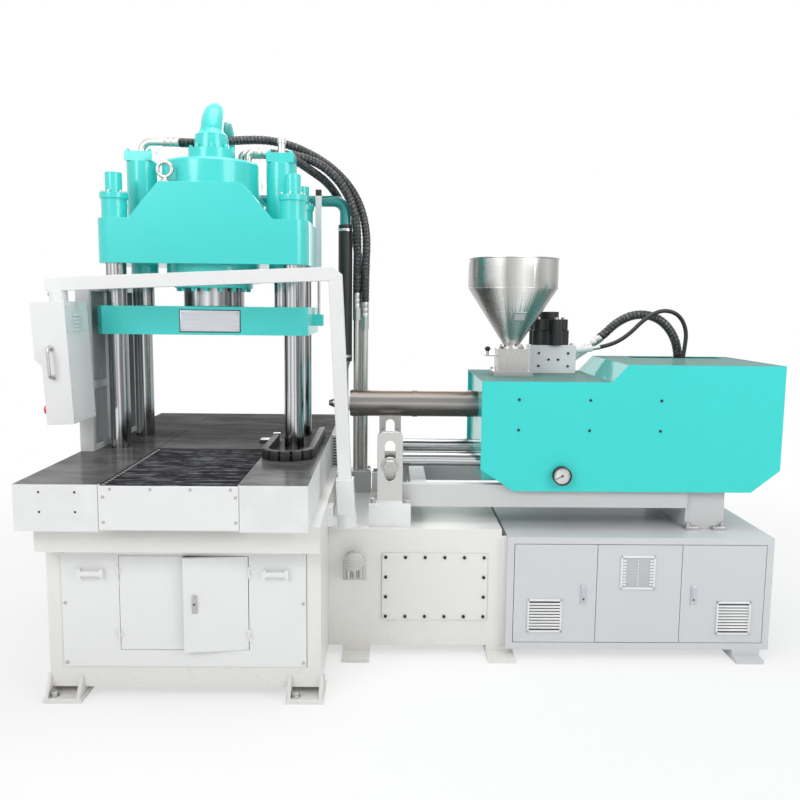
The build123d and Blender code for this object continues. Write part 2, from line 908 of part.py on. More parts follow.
# Cast top platen: rounded shoulders, front and back ribs and a ring round the cylinder
with BuildPart() as top_platen:
    with BuildSketch(Plane.XY.offset(top_platen_bottom)):
        RectangleRounded(2 * top_half_width, 2 * top_half_depth, top_platen_boss)
    extrude(amount=top_platen_shoulder)
    rib_foot = column_x - nut_flange_diameter / 2 - rib_nut_gap
    with BuildSketch(Plane.XZ.offset(top_half_depth - rib_thickness)):
        with BuildLine():
            Polyline(
                (-rib_foot, top_shoulder),
                (rib_foot, top_shoulder),
                (rib_top_width / 2, top_shoulder + rib_rise),
                (-rib_top_width / 2, top_shoulder + rib_rise),
                close=True,
            )
        make_face()
    extrude(amount=rib_thickness)
    mirror(about=Plane.XZ)
    with BuildSketch(Plane.XY.offset(top_shoulder)):
        Circle(ring_diameter / 2)
    extrude(amount=ring_rise)
    bar(
        (0, 0, top_platen_bottom - overrun),
        (0, 0, 1),
        cylinder_diameter + 2 * seat_gap,
        top_platen_shoulder + ring_rise + 2 * overrun,
        mode=Mode.SUBTRACT,
    )
    bar(
        (0, 0, ring_top),
        (0, 0, 1),
        cylinder_head_diameter + 2 * part_gap,
        rib_rise,
        mode=Mode.SUBTRACT,
    )
    for side in (-1, 1):
        bar(
            (side * booster_x, 0, top_platen_bottom - overrun),
            (0, 0, 1),
            booster_neck_diameter + 2 * seat_gap,
            top_platen_shoulder + 2 * overrun,
            mode=Mode.SUBTRACT,
        )
    with Locations(*corner_places(column_x, column_y, top_platen_bottom - overrun)):
        Cylinder(
            column_diameter / 2 + seat_gap,
            top_platen_shoulder + 2 * overrun,
            align=(Align.CENTER, Align.CENTER, Align.MIN),
            mode=Mode.SUBTRACT,
        )
top_platen.part.label = "top_platen"
export_step(top_platen.part, "parts/top_platen.step")

# Main cylinder with its gland, bore and two bent hose fittings on the cap
with BuildPart() as main_cylinder:
    with BuildSketch(Plane.XZ):
        with BuildLine():
            Polyline(
                (ram_diameter / 2 + running_gap, cylinder_bottom - gland_height),
                (gland_diameter / 2, cylinder_bottom - gland_height),
                (gland_diameter / 2, cylinder_bottom),
                (cylinder_diameter / 2, cylinder_bottom),
                (cylinder_diameter / 2, ring_top),
                (cylinder_head_diameter / 2, ring_top),
                (cylinder_head_diameter / 2, cylinder_top - cylinder_chamfer),
                (cylinder_head_diameter / 2 - cylinder_chamfer, cylinder_top),
                (port_diameter / 2, cylinder_top),
                (port_diameter / 2, cylinder_top - cylinder_cap),
                (ram_diameter / 2 + running_gap, cylinder_top - cylinder_cap),
                close=True,
            )
        make_face()
    revolve(axis=Axis.Z)
    for port_x, port_y in (port_fitting_1, port_fitting_2):
        bar((port_x, port_y, cylinder_top), (0, 0, 1), port_fitting_diameter, port_fitting_height)
        with BuildLine() as port_path:
            FilletPolyline(
                (port_x, port_y, cylinder_top),
                (port_x, port_y, cylinder_top + port_elbow_rise),
                (port_x + port_elbow_reach, port_y, cylinder_top + port_elbow_rise),
                radius=port_elbow_radius,
            )
        with BuildSketch(Plane(origin=(port_x, port_y, cylinder_top), z_dir=(0, 0, 1))):
            Circle(elbow_tube_diameter / 2)
        sweep(path=port_path.line)
main_cylinder.part.label = "main_cylinder"
export_step(main_cylinder.part, "parts/main_cylinder.step")

# Main ram, seated on the moving platen
with BuildPart() as main_ram:
    bar((0, 0, platen_top), (0, 0, 1), ram_diameter, ram_length)
main_ram.part.label = "main_ram"
export_step(main_ram.part, "parts/main_ram.step")

# Two booster cylinders with square heads, a bent tube on the left and a capped stub on the right
with BuildPart() as booster_cylinders:
    for side in (-1, 1):
        bar(
            (side * booster_x, 0, booster_bottom),
            (0, 0, 1),
            booster_neck_diameter,
            top_shoulder - booster_bottom,
        )
        bar(
            (side * booster_x, 0, top_shoulder),
            (0, 0, 1),
            booster_diameter,
            booster_body_top - top_shoulder,
        )
        with Locations((side * booster_x, 0, booster_body_top + booster_head_height / 2)):
            Box(booster_head_width, booster_head_width, booster_head_height)
        bar(
            (side * booster_x, 0, booster_bottom - overrun),
            (0, 0, 1),
            booster_rod_diameter + 2 * running_gap,
            booster_body_top - booster_bottom,
            mode=Mode.SUBTRACT,
        )
    with BuildLine() as elbow_path:
        FilletPolyline(
            (-booster_x, 0, booster_top),
            (-booster_x, 0, booster_top + elbow_rise),
            (-booster_x + elbow_reach, 0, booster_top + elbow_rise),
            radius=elbow_radius,
        )
    with BuildSketch(Plane(origin=(-booster_x, 0, booster_top), z_dir=(0, 0, 1))):
        Circle(elbow_tube_diameter / 2)
    sweep(path=elbow_path.line)
    bar((booster_x, 0, booster_top), (0, 0, 1), elbow_tube_diameter, elbow_rise)
    bar(
        (booster_x, 0, booster_top + elbow_rise),
        (0, 0, 1),
        stub_cap_diameter,
        stub_cap_height,
    )
booster_cylinders.part.label = "booster_cylinders"
export_step(booster_cylinders.part, "parts/booster_cylinders.step")

# Plunger rods of the two boosters
with BuildPart() as booster_rods:
    for side in (-1, 1):
        bar((side * booster_x, 0, platen_top), (0, 0, 1), booster_rod_diameter, booster_rod_length)
booster_rods.part.label = "booster_rods"
export_step(booster_rods.part, "parts/booster_rods.step")

# Moving platen with chamfered corners, guide bores, mould holes and the sensor lug
with BuildPart() as moving_platen:
    with BuildSketch(Plane.XY.offset(platen_bottom)):
        Rectangle(platen_width, platen_depth)
    extrude(amount=platen_thickness)
    chamfer(moving_platen.edges().filter_by(Axis.Z), length=platen_chamfer)
    with Locations(*corner_places(column_x, column_y, platen_bottom - overrun)):
        Cylinder(
            column_diameter / 2 + running_gap,
            platen_thickness + 2 * overrun,
            align=(Align.CENTER, Align.CENTER, Align.MIN),
            mode=Mode.SUBTRACT,
        )
    with Locations(*corner_places(mould_hole_x / 2, mould_hole_y / 2, platen_bottom - overrun)):
        Cylinder(
            mould_hole / 2,
            mould_hole_depth + overrun,
            align=(Align.CENTER, Align.CENTER, Align.MIN),
            mode=Mode.SUBTRACT,
        )
    lug_bottom = platen_bottom + (platen_thickness - lug_height) / 2
    span_box(
        (platen_width / 2, platen_width / 2 + lug_reach),
        (lug_y - lug_width / 2, lug_y + lug_width / 2),
        (lug_bottom, lug_bottom + lug_height),
    )
moving_platen.part.label = "moving_platen"
export_step(moving_platen.part, "parts/moving_platen.step")

# Prefill valve body on the cylinder cap
with BuildPart() as prefill_valve:
    bar((0, 0, cylinder_top), (0, 0, 1), valve_disc_diameter, valve_disc_height)
    bar(
        (0, 0, cylinder_top + valve_disc_height),
        (0, 0, 1),
        valve_flange_diameter,
        valve_flange_height,
    )
    bar(
        (0, 0, cylinder_top - overrun),
        (0, 0, 1),
        port_diameter,
        valve_disc_height + valve_flange_height + 2 * overrun,
        mode=Mode.SUBTRACT,
    )
prefill_valve.part.label = "prefill_valve"
export_step(prefill_valve.part, "parts/prefill_valve.step")

# Bent prefill pipe that goes up, over to the back and down to its flange
with BuildPart() as prefill_pipe:
    with BuildLine() as prefill_path:
        FilletPolyline(
            (0, 0, valve_top),
            (0, 0, valve_top + pipe_rise),
            (0, pipe_back, valve_top + pipe_rise),
            (0, pipe_back, pipe_end_height),
            radius=pipe_bend,
        )
    with BuildSketch(Plane.XY.offset(valve_top)):
        Circle(pipe_diameter / 2)
        Circle(pipe_bore / 2, mode=Mode.SUBTRACT)
    sweep(path=prefill_path.line)
    with BuildSketch(Plane.XY.offset(pipe_end_height)):
        with Locations((0, pipe_back)):
            Circle(pipe_flange_diameter / 2)
            Circle(pipe_bore / 2, mode=Mode.SUBTRACT)
    extrude(amount=pipe_flange_height)
prefill_pipe.part.label = "prefill_pipe"
export_step(prefill_pipe.part, "parts/prefill_pipe.step")

# Return pipe behind the top platen, from its flange to the hose
with BuildPart() as return_pipe:
    return_start = pipe_end_height - pipe_flange_height
    with BuildSketch(Plane.XY.offset(return_start)):
        with Locations((0, pipe_back)):
            Circle(pipe_flange_diameter / 2)
            Circle(return_bore / 2, mode=Mode.SUBTRACT)
    extrude(amount=pipe_flange_height)
    with BuildLine() as return_path:
        FilletPolyline(
            (0, pipe_back, return_start),
            (0, pipe_back, return_height),
            (return_x, pipe_back, return_height),
            (return_x, pipe_back, return_end),
            radius=return_bend,
        )
    with BuildSketch(Plane(origin=(0, pipe_back, return_start), z_dir=(0, 0, -1))):
        Circle(return_diameter / 2)
        Circle(return_bore / 2, mode=Mode.SUBTRACT)
    sweep(path=return_path.line)
return_pipe.part.label = "return_pipe"
export_step(return_pipe.part, "parts/return_pipe.step")

# Straight rubber hose between the return pipe and the drop pipe
with BuildPart() as return_hose:
    with BuildSketch(Plane.XY.offset(hose_bottom)):
        with Locations((return_x, pipe_back)):
            Circle(hose_diameter / 2)
            Circle(return_diameter / 2 + seat_gap, mode=Mode.SUBTRACT)
    extrude(amount=hose_top - hose_bottom)
return_hose.part.label = "return_hose"
export_step(return_hose.part, "parts/return_hose.step")

# Steel drop pipe and three risers, standing on the manifold
manifold_top = tank_top + manifold_height
with BuildPart() as steel_pipes:
    cone_bottom = hose_bottom - drop_cone_length
    bar(
        (return_x, pipe_back, hose_bottom),
        (0, 0, 1),
        return_diameter,
        drop_spigot_length,
    )
    with Locations((return_x, pipe_back, cone_bottom)):
        Cone(
            drop_pipe_diameter / 2,
            return_diameter / 2,
            drop_cone_length,
            align=(Align.CENTER, Align.CENTER, Align.MIN),
        )
    bar(
        (return_x, pipe_back, manifold_top),
        (0, 0, 1),
        drop_pipe_diameter,
        cone_bottom - manifold_top,
    )
    for place, top in ((riser_1, riser_1_top), (riser_2, riser_2_top), (riser_3, riser_3_top)):
        shoulder = top - riser_fitting_length
        bar((*place, manifold_top), (0, 0, 1), riser_diameter, shoulder - manifold_top)
        with BuildSketch(Plane.XY.offset(shoulder)):
            with Locations(place):
                RegularPolygon(riser_fitting_width / 2, 6, major_radius=False, rotation=30)
        extrude(amount=riser_fitting_length)
steel_pipes.part.label = "steel_pipes"
export_step(steel_pipes.part, "parts/steel_pipes.step")

# Manifold block on the back of the tank top
with BuildPart() as rear_manifold:
    span_box(manifold_x, manifold_y, (tank_top, manifold_top))
rear_manifold.part.label = "rear_manifold"
export_step(rear_manifold.part, "parts/rear_manifold.step")

# Free hoses over the top of the press
top_hose_1 = route_tube("top_hose_1", top_hose_1_route, top_hose_diameter)
top_hose_1.part.label = "top_hose_1"
export_step(top_hose_1.part, "parts/top_hose_1.step")

top_hose_2 = route_tube("top_hose_2", top_hose_2_route, top_hose_diameter)
top_hose_2.part.label = "top_hose_2"
export_step(top_hose_2.part, "parts/top_hose_2.step")

top_hose_3 = route_tube("top_hose_3", top_hose_3_route, top_hose_diameter)
top_hose_3.part.label = "top_hose_3"
export_step(top_hose_3.part, "parts/top_hose_3.step")

# Travel sensor: a square profile on the side of the top platen, with a bore for its rod
with BuildPart() as travel_sensor:
    sensor_x = top_half_width + sensor_width / 2
    span_box(
        (top_half_width, top_half_width + sensor_width),
        (lug_y - sensor_width / 2, lug_y + sensor_width / 2),
        (sensor_bottom, sensor_bottom + sensor_length),
    )
    with Locations((sensor_x, lug_y, sensor_bottom + sensor_length + sensor_cap_height / 2)):
        Box(sensor_cap_width, sensor_cap_width, sensor_cap_height)
    bar(
        (sensor_x, lug_y, sensor_bottom - overrun),
        (0, 0, 1),
        sensor_rod_diameter + 2 * running_gap,
        sensor_length,
        mode=Mode.SUBTRACT,
    )
travel_sensor.part.label = "travel_sensor"
export_step(travel_sensor.part, "parts/travel_sensor.step")

# Rod of the travel sensor, standing on the platen lug
with BuildPart() as sensor_rod:
    rod_bottom = lug_bottom + lug_height
    bar((sensor_x, lug_y, rod_bottom), (0, 0, 1), sensor_rod_diameter, sensor_rod_top - rod_bottom)
sensor_rod.part.label = "sensor_rod"
export_step(sensor_rod.part, "parts/sensor_rod.step")

# Folded guard on the left of the mould space, with stiffening bars on its inner side
with BuildPart() as safety_guard:
    guard_outer = -half_table
    guard_inner = guard_outer + guard_depth
    guard_half = guard_length / 2
    guard_top = table_height + guard_height
    span_box((guard_outer, guard_inner), (-guard_half, guard_half), (table_height, guard_top))
    span_box(
        (guard_outer + sheet, guard_inner - sheet),
        (-guard_half + sheet, guard_half - sheet),
        (table_height + sheet, guard_top - sheet),
        mode=Mode.SUBTRACT,
    )
    span_box(
        (guard_inner - sheet - overrun, guard_inner + overrun),
        (-guard_half + guard_lip, guard_half - guard_lip),
        (table_height + guard_lip, guard_top - guard_lip),
        mode=Mode.SUBTRACT,
    )
    guard_bar_z = table_height + guard_window_bottom_share * guard_height
    span_box(
        (guard_outer + sheet, guard_outer + sheet + guard_bar_depth),
        (-guard_half + sheet, guard_half - sheet),
        (guard_bar_z, guard_bar_z + guard_bar_width),
    )
    span_box(
        (guard_outer + sheet, guard_outer + sheet + guard_bar_depth),
        (-guard_bar_width / 2, guard_bar_width / 2),
        (table_height + sheet, guard_top - sheet),
    )
safety_guard.part.label = "safety_guard"
export_step(safety_guard.part, "parts/safety_guard.step")

# Leaning frame of the swing arm: its own Z runs up the post, its own X points right
lean_sine = math.sin(math.radians(arm_lean))
lean_cosine = math.cos(math.radians(arm_lean))
arm_plane = Plane(
    origin=(arm_x, arm_y, arm_foot_height),
    x_dir=(lean_cosine, 0, lean_sine),
    z_dir=(-lean_sine, 0, lean_cosine),
)
print("arm axis", (-lean_sine, 0, lean_cosine))

# Bracket on the side of the base, with the pivot pin of the arm
with BuildPart() as arm_bracket:
    bracket_top = arm_foot_height - bracket_plate_thickness / 2
    skirt_right = base_x + skirt_width / 2
    span_box(
        (skirt_right, skirt_right + bracket_plate_thickness),
        (arm_y - bracket_width / 2, arm_y + bracket_width / 2),
        (skirt_bottom, skirt_bottom + bracket_height),
    )
    span_box(
        (skirt_right, arm_x),
        (arm_y - bracket_width / 4, arm_y + bracket_width / 4),
        (skirt_bottom, bracket_top),
    )
    with Locations(arm_plane):
        with Locations((0, 0, -pivot_boss_height)):
            Cylinder(
                pivot_boss_radius,
                pivot_boss_height,
                align=(Align.CENTER, Align.CENTER, Align.MIN),
            )
        Cylinder(
            pivot_pin_diameter / 2,
            pivot_pin_height,
            align=(Align.CENTER, Align.CENTER, Align.MIN),
        )
arm_bracket.part.label = "arm_bracket"
export_step(arm_bracket.part, "parts/arm_bracket.step")

# Square post of the arm with its collar, bored for the pivot pin
with BuildPart(arm_plane) as arm_post:
    with BuildSketch(arm_plane):
        RectangleRounded(arm_collar, arm_collar, arm_edge)
    extrude(amount=arm_collar_height)
    with BuildSketch(arm_plane):
        RectangleRounded(arm_profile, arm_profile, arm_edge)
    extrude(amount=arm_post_length)
    Cylinder(
        pivot_pin_diameter / 2 + running_gap,
        pivot_pin_height + part_gap,
        align=(Align.CENTER, Align.CENTER, Align.MIN),
        mode=Mode.SUBTRACT,
    )
arm_post.part.label = "arm_post"
export_step(arm_post.part, "parts/arm_post.step")

# Beam of the arm with its cut corner on the post and the neck over the control box
beam_top = arm_post_length + arm_profile
beam_end = -arm_reach - arm_head_overhang
box_top = arm_post_length - arm_neck_drop
arm_side_plane = Plane(
    origin=arm_plane.from_local_coords((0, 0, 0)),
    x_dir=arm_plane.x_dir,
    z_dir=-arm_plane.y_dir,
)
with BuildPart() as arm_beam:
    with BuildSketch(arm_side_plane):
        with BuildLine():
            Polyline(
                (beam_end, arm_post_length),
                (arm_profile / 2, arm_post_length),
                (arm_profile / 2, beam_top - arm_corner_cut),
                (arm_profile / 2 - arm_corner_cut, beam_top),
                (beam_end + arm_corner_cut / 2, beam_top),
                (beam_end, beam_top - arm_corner_cut / 2),
                close=True,
            )
        make_face()
    extrude(amount=arm_profile / 2, both=True)
    with Locations(arm_plane):
        with Locations((-arm_reach, 0, box_top + part_gap)):
            Cylinder(
                arm_neck_radius,
                arm_neck_drop - part_gap,
                align=(Align.CENTER, Align.CENTER, Align.MIN),
            )
            Cylinder(
                spigot_diameter / 2 + running_gap,
                spigot_height,
                align=(Align.CENTER, Align.CENTER, Align.MIN),
                mode=Mode.SUBTRACT,
            )
arm_beam.part.label = "arm_beam"
export_step(arm_beam.part, "parts/arm_beam.step")

# Control box under the neck: a folded housing with a stepped operator side
box_left = -arm_reach - box_width / 2
box_right = box_left + box_width
box_bottom = box_lift
step_height = box_top - box_upper_share * (box_top - box_bottom)
with BuildPart() as control_box:
    with BuildSketch(arm_side_plane.offset(-box_depth / 2)):
        with BuildLine():
            Polyline(
                (box_left, box_top),
                (box_right, box_top),
                (box_right, box_bottom),
                (box_left + box_step, box_bottom),
                (box_left + box_step, step_height - box_step_drop),
                (box_left, step_height),
                close=True,
            )
        make_face()
    extrude(amount=box_depth)
    offset(amount=-sheet, mode=Mode.SUBTRACT)
    with Locations(arm_plane):
        with Locations((-arm_reach, 0, box_top - sheet)):
            Cylinder(
                spigot_diameter / 2,
                spigot_height - sheet,
                align=(Align.CENTER, Align.CENTER, Align.MIN),
            )
    estop_place = arm_plane.from_local_coords((box_left + box_step, estop_y, box_bottom + estop_height))
    estop_plane = Plane(origin=estop_place, x_dir=(0, 1, 0), z_dir=-arm_plane.x_dir)
    with Locations(estop_plane):
        Cylinder(estop_stem_diameter / 2 + running_gap, 4 * sheet, mode=Mode.SUBTRACT)
control_box.part.label = "control_box"
export_step(control_box.part, "parts/control_box.step")

# Pull handle on the front of the control box
with BuildPart() as box_handle:
    handle_plane = Plane(
        origin=arm_plane.from_local_coords((-arm_reach, -box_depth / 2, box_top - handle_drop)),
        x_dir=arm_plane.x_dir,
        z_dir=arm_plane.z_dir,
    )
    with BuildLine(Plane(origin=handle_plane.origin, x_dir=(0, -1, 0), z_dir=handle_plane.x_dir)) as grip:
        FilletPolyline(
            (0, handle_height / 2 - handle_bar / 2),
            (handle_reach - handle_bar / 2, handle_height / 2 - handle_bar / 2),
            (handle_reach - handle_bar / 2, -handle_height / 2 + handle_bar / 2),
            (0, -handle_height / 2 + handle_bar / 2),
            radius=handle_bar,
        )
    with BuildSketch(Plane(origin=grip.line @ 0, z_dir=grip.line % 0)):
        Circle(handle_bar / 2)
    sweep(path=grip.line)
box_handle.part.label = "box_handle"
export_step(box_handle.part, "parts/box_handle.step")

# Mushroom stop button on the operator side
with BuildPart(estop_plane) as estop_button:
    with Locations((0, 0, -estop_stem_length)):
        Cylinder(
            estop_stem_diameter / 2,
            estop_stem_length + estop_travel_gap,
            align=(Align.CENTER, Align.CENTER, Align.MIN),
        )
    with Locations((0, 0, estop_travel_gap)):
        Cylinder(
            estop_head_diameter / 2,
            estop_head_height,
            align=(Align.CENTER, Align.CENTER, Align.MIN),
        )
    fillet(estop_button.edges().group_by(Axis.X)[0], radius=estop_head_height / 3)
estop_button.part.label = "estop_button"
export_step(estop_button.part, "parts/estop_button.step")
print("stop button at", tuple(round(v, 2) for v in estop_place))
neck_place = arm_plane.from_local_coords((-arm_reach, 0, box_top))
print("box swivel at", tuple(round(v, 2) for v in neck_place))

# Oil tank, hollow behind its hatch, on flat feet
with BuildPart() as oil_tank:
    span_box((base_right, tank_right), (tank_front, tank_back), (foot_height, tank_top))
    span_box(
        (base_right + tank_wall, tank_right - tank_wall),
        (tank_front + tank_wall, tank_back - tank_wall),
        (foot_height + tank_wall, tank_top - tank_wall),
        mode=Mode.SUBTRACT,
    )
    span_box(
        (hatch_left + hatch_rim, hatch_left + hatch_width - hatch_rim),
        (tank_front - overrun, tank_front + tank_wall + overrun),
        (hatch_bottom + hatch_rim, hatch_bottom + hatch_height - hatch_rim),
        mode=Mode.SUBTRACT,
    )
    foot_back = tank_back - tank_foot_depth
    foot_front = tank_front - tank_foot_reach
    for foot_centre in (tank_foot_1, tank_foot_2):
        foot_range = (foot_centre - tank_foot_width / 2, foot_centre + tank_foot_width / 2)
        span_box(
            foot_range,
            (foot_front, foot_front + tank_foot_depth + tank_foot_reach),
            (0, foot_plate_thickness),
        )
        span_box(
            foot_range,
            (tank_front, tank_front + tank_foot_depth),
            (foot_plate_thickness, foot_height),
        )
        span_box(foot_range, (foot_back, tank_back), (0, foot_height))
    bar(
        (filler_x, tank_front, filler_z),
        (0, -1, 0),
        filler_neck_diameter,
        filler_neck_length,
    )
oil_tank.part.label = "oil_tank"
export_step(oil_tank.part, "parts/oil_tank.step")

# Hatch plate on the tank front
with BuildPart() as tank_hatch:
    span_box(
        (hatch_left, hatch_left + hatch_width),
        (tank_front - hatch_thickness, tank_front),
        (hatch_bottom, hatch_bottom + hatch_height),
    )
tank_hatch.part.label = "tank_hatch"
export_step(tank_hatch.part, "parts/tank_hatch.step")

# Filler cap on its neck
with BuildPart() as filler_cap:
    bar(
        (filler_x, tank_front - filler_neck_length, filler_z),
        (0, -1, 0),
        filler_diameter,
        filler_length,
    )
    chamfer(filler_cap.edges().group_by(Axis.Y)[0], length=filler_length / 6)
filler_cap.part.label = "filler_cap"
export_step(filler_cap.part, "parts/filler_cap.step")

# Electrical cabinet: a welded frame round two doors and a fixed middle panel with a vent
cabinet_bottom = foot_height
door_back = cabinet_front + cabinet_door_thickness
recess_bottom = cabinet_bottom + cabinet_frame
recess_top = cabinet_top - cabinet_frame
recess_left = cabinet_left + cabinet_frame
recess_right = cabinet_right - cabinet_frame
door_bottom = recess_bottom + cabinet_door_gap
door_height = recess_top - recess_bottom - 2 * cabinet_door_gap
left_hinge_x = recess_left + cabinet_door_gap + door_pivot_inset
right_hinge_x = recess_right - cabinet_door_gap - door_pivot_inset
cabinet_hinge_y = cabinet_front + cabinet_door_thickness / 2
with BuildPart() as cabinet_shell:
    span_box((cabinet_left, cabinet_right), (cabinet_front, cabinet_back), (cabinet_bottom, cabinet_top))
    bays = (
        (cabinet_left + sheet, cabinet_split_1 - sheet / 2),
        (cabinet_split_1 + sheet / 2, cabinet_split_2 - sheet / 2),
        (cabinet_split_2 + sheet / 2, cabinet_right - sheet),
    )
    for bay in bays:
        span_box(
            bay,
            (door_back + sheet, cabinet_back - sheet),
            (cabinet_bottom + sheet, cabinet_top - sheet),
            mode=Mode.SUBTRACT,
        )
    middle_range = (cabinet_split_1 + cabinet_door_gap / 2, cabinet_split_2 - cabinet_door_gap / 2)
    seat_left = middle_range[0] - cabinet_door_gap - cabinet_seat
    seat_right = middle_range[1] + cabinet_door_gap + cabinet_seat
    for recess, inner_range in (
        ((recess_left, middle_range[0]), (recess_left, seat_left)),
        ((middle_range[1], recess_right), (seat_right, recess_right)),
    ):
        span_box(
            recess,
            (cabinet_front - overrun, door_back),
            (recess_bottom, recess_top),
            mode=Mode.SUBTRACT,
        )
        span_box(
            inner_range,
            (door_back - overrun, door_back + sheet + overrun),
            (recess_bottom + cabinet_seat, recess_top - cabinet_seat),
            mode=Mode.SUBTRACT,
        )
    swing_reach = door_pivot_inset + cabinet_door_gap
    for pivot_x in (left_hinge_x, right_hinge_x):
        span_box(
            (pivot_x - swing_reach, pivot_x + swing_reach),
            (door_back - overrun, door_back + sheet + overrun),
            (recess_bottom, recess_top),
            mode=Mode.SUBTRACT,
        )
        bar(
            (pivot_x, cabinet_hinge_y, recess_bottom),
            (0, 0, 1),
            door_pivot_diameter,
            door_pivot_length,
        )
        bar(
            (pivot_x, cabinet_hinge_y, recess_top),
            (0, 0, -1),
            door_pivot_diameter,
            door_pivot_length,
        )
    vent_slots_cut(vent_centre_x, vent_centre_z, cabinet_front, cabinet_door_thickness + sheet)
    foot_range = (cabinet_foot_x - tank_foot_width / 2, cabinet_foot_x + tank_foot_width / 2)
    span_box(
        foot_range,
        (foot_front, cabinet_front + tank_foot_depth),
        (0, foot_plate_thickness),
    )
    span_box(
        foot_range,
        (cabinet_front, cabinet_front + tank_foot_depth),
        (foot_plate_thickness, foot_height),
    )
    span_box(foot_range, (foot_back, cabinet_back), (0, foot_height))
cabinet_shell.part.label = "cabinet_shell"
export_step(cabinet_shell.part, "parts/cabinet_shell.step")


def pivot_door(reach, width, vent):
    """Make a cabinet door about its pivot line at zero, bored for the pins above and below."""
    with Locations((-reach * door_pivot_inset, -cabinet_door_thickness / 2, 0)):
        door_pan(
            width,
            door_bottom,
            door_height,
            cabinet_door_thickness - part_gap,
            sheet,
            reach,
        )
    vent_slots_cut(*vent, -cabinet_door_thickness / 2, sheet)
    bar(
        (0, 0, door_bottom - overrun),
        (0, 0, 1),
        door_pivot_diameter + 2 * running_gap,
        door_height + 2 * overrun,
        mode=Mode.SUBTRACT,
    )


# Left cabinet door, turning near its left edge
left_door_width = middle_range[0] - recess_left - 2 * cabinet_door_gap
with BuildPart(Plane(origin=(left_hinge_x, cabinet_hinge_y, 0))) as cabinet_door_left:
    pivot_door(1, left_door_width, (vent_left_x - left_hinge_x, vent_left_z))
cabinet_door_left.part.label = "cabinet_door_left"
export_step(cabinet_door_left.part, "parts/cabinet_door_left.step")

# Right cabinet door, turning near its right edge
right_door_width = recess_right - middle_range[1] - 2 * cabinet_door_gap
with BuildPart(Plane(origin=(right_hinge_x, cabinet_hinge_y, 0))) as cabinet_door_right:
    pivot_door(-1, right_door_width, (vent_right_x - right_hinge_x, vent_right_z))
cabinet_door_right.part.label = "cabinet_door_right"
export_step(cabinet_door_right.part, "parts/cabinet_door_right.step")

# Bed of the injection unit: two beams, cross plates, right pedestal and rod block
with BuildPart() as injection_bed:
    for beam_range in both_sides(bed_outer - bed_beam, bed_outer):
        span_box((bed_left, bed_right), beam_range, (bed_bottom, bed_top))
    cross_left = bracket_base_right
    for cross_start in (cross_left, bed_right - bed_cross):
        span_box(
            (cross_start, cross_start + bed_cross),
            (-bed_outer + bed_beam, bed_outer - bed_beam),
            (bed_bottom, bed_top),
        )
    span_box(
        (bed_right, bed_right + pedestal_length),
        (-pedestal_depth, pedestal_depth),
        (cabinet_top, pedestal_top),
    )
    rod_block_start = bed_right - bed_cross
    span_box(
        (rod_block_start, bed_right),
        (-rod_block_depth / 2, rod_block_depth / 2),
        (bed_top, rod_block_top),
    )
    for side in (-1, 1):
        bar(
            (rod_block_start - overrun, side * rod_y, rod_height),
            (1, 0, 0),
            rod_diameter + 2 * seat_gap,
            bed_cross + 2 * overrun,
            mode=Mode.SUBTRACT,
        )
injection_bed.part.label = "injection_bed"
export_step(injection_bed.part, "parts/injection_bed.step")

# Pair of slotted brackets on the tank top
with BuildPart() as bed_brackets:
    for side in (-1, 1):
        base_y = side * (bed_outer + bracket_base_depth / 2)
        with Locations(
            ((bracket_base_left + bracket_base_right) / 2, base_y, (tank_top + bracket_base_top) / 2)
        ):
            Box(
                bracket_base_right - bracket_base_left,
                bracket_base_depth,
                bracket_base_top - tank_top,
            )
        with BuildSketch(Plane.XZ.offset(-base_y)):
            slot_centre_x = (slot_plate_left + slot_plate_right) / 2
            plate_width = slot_plate_right - slot_plate_left
            with Locations((slot_centre_x, (bracket_base_top + slot_plate_top) / 2)):
                Rectangle(plate_width, slot_plate_top - bracket_base_top)
            fillet(vertices().group_by(Axis.Y)[-1], radius=plate_width / 4)
            with Locations((slot_centre_x, (slot_bottom + slot_top) / 2)):
                SlotOverall(slot_top - slot_bottom, slot_width, rotation=90, mode=Mode.SUBTRACT)
        extrude(amount=slot_plate_thickness / 2, both=True)
bed_brackets.part.label = "bed_brackets"
export_step(bed_brackets.part, "parts/bed_brackets.step")

# Block that holds the left ends of the guide rods, clamped through the bracket slots
plate_inner = bed_outer + bracket_base_depth / 2 - slot_plate_thickness / 2
with BuildPart() as rod_end_block:
    span_box(
        (slot_plate_left + end_block_inset, slot_plate_right - end_block_inset),
        (-plate_inner, plate_inner),
        (end_block_bottom, end_block_top),
    )
    for side in (-1, 1):
        bar(
            (slot_centre_x, side * plate_inner, rod_height),
            (0, side, 0),
            clamp_stud_diameter,
            clamp_stud_length,
        )
        bar(
            (slot_plate_left + end_block_inset + bed_beam, side * rod_y, rod_height),
            (1, 0, 0),
            rod_diameter + 2 * seat_gap,
            slot_plate_right - slot_plate_left,
            mode=Mode.SUBTRACT,
        )
rod_end_block.part.label = "rod_end_block"
export_step(rod_end_block.part, "parts/rod_end_block.step")

# Two guide rods of the injection carriage
with BuildPart() as guide_rods:
    rod_start = slot_plate_left + end_block_inset + bed_beam
    for side in (-1, 1):
        bar(
            (rod_start, side * rod_y, rod_height),
            (1, 0, 0),
            rod_diameter,
            bed_right - rod_start,
        )
guide_rods.part.label = "guide_rods"
export_step(guide_rods.part, "parts/guide_rods.step")

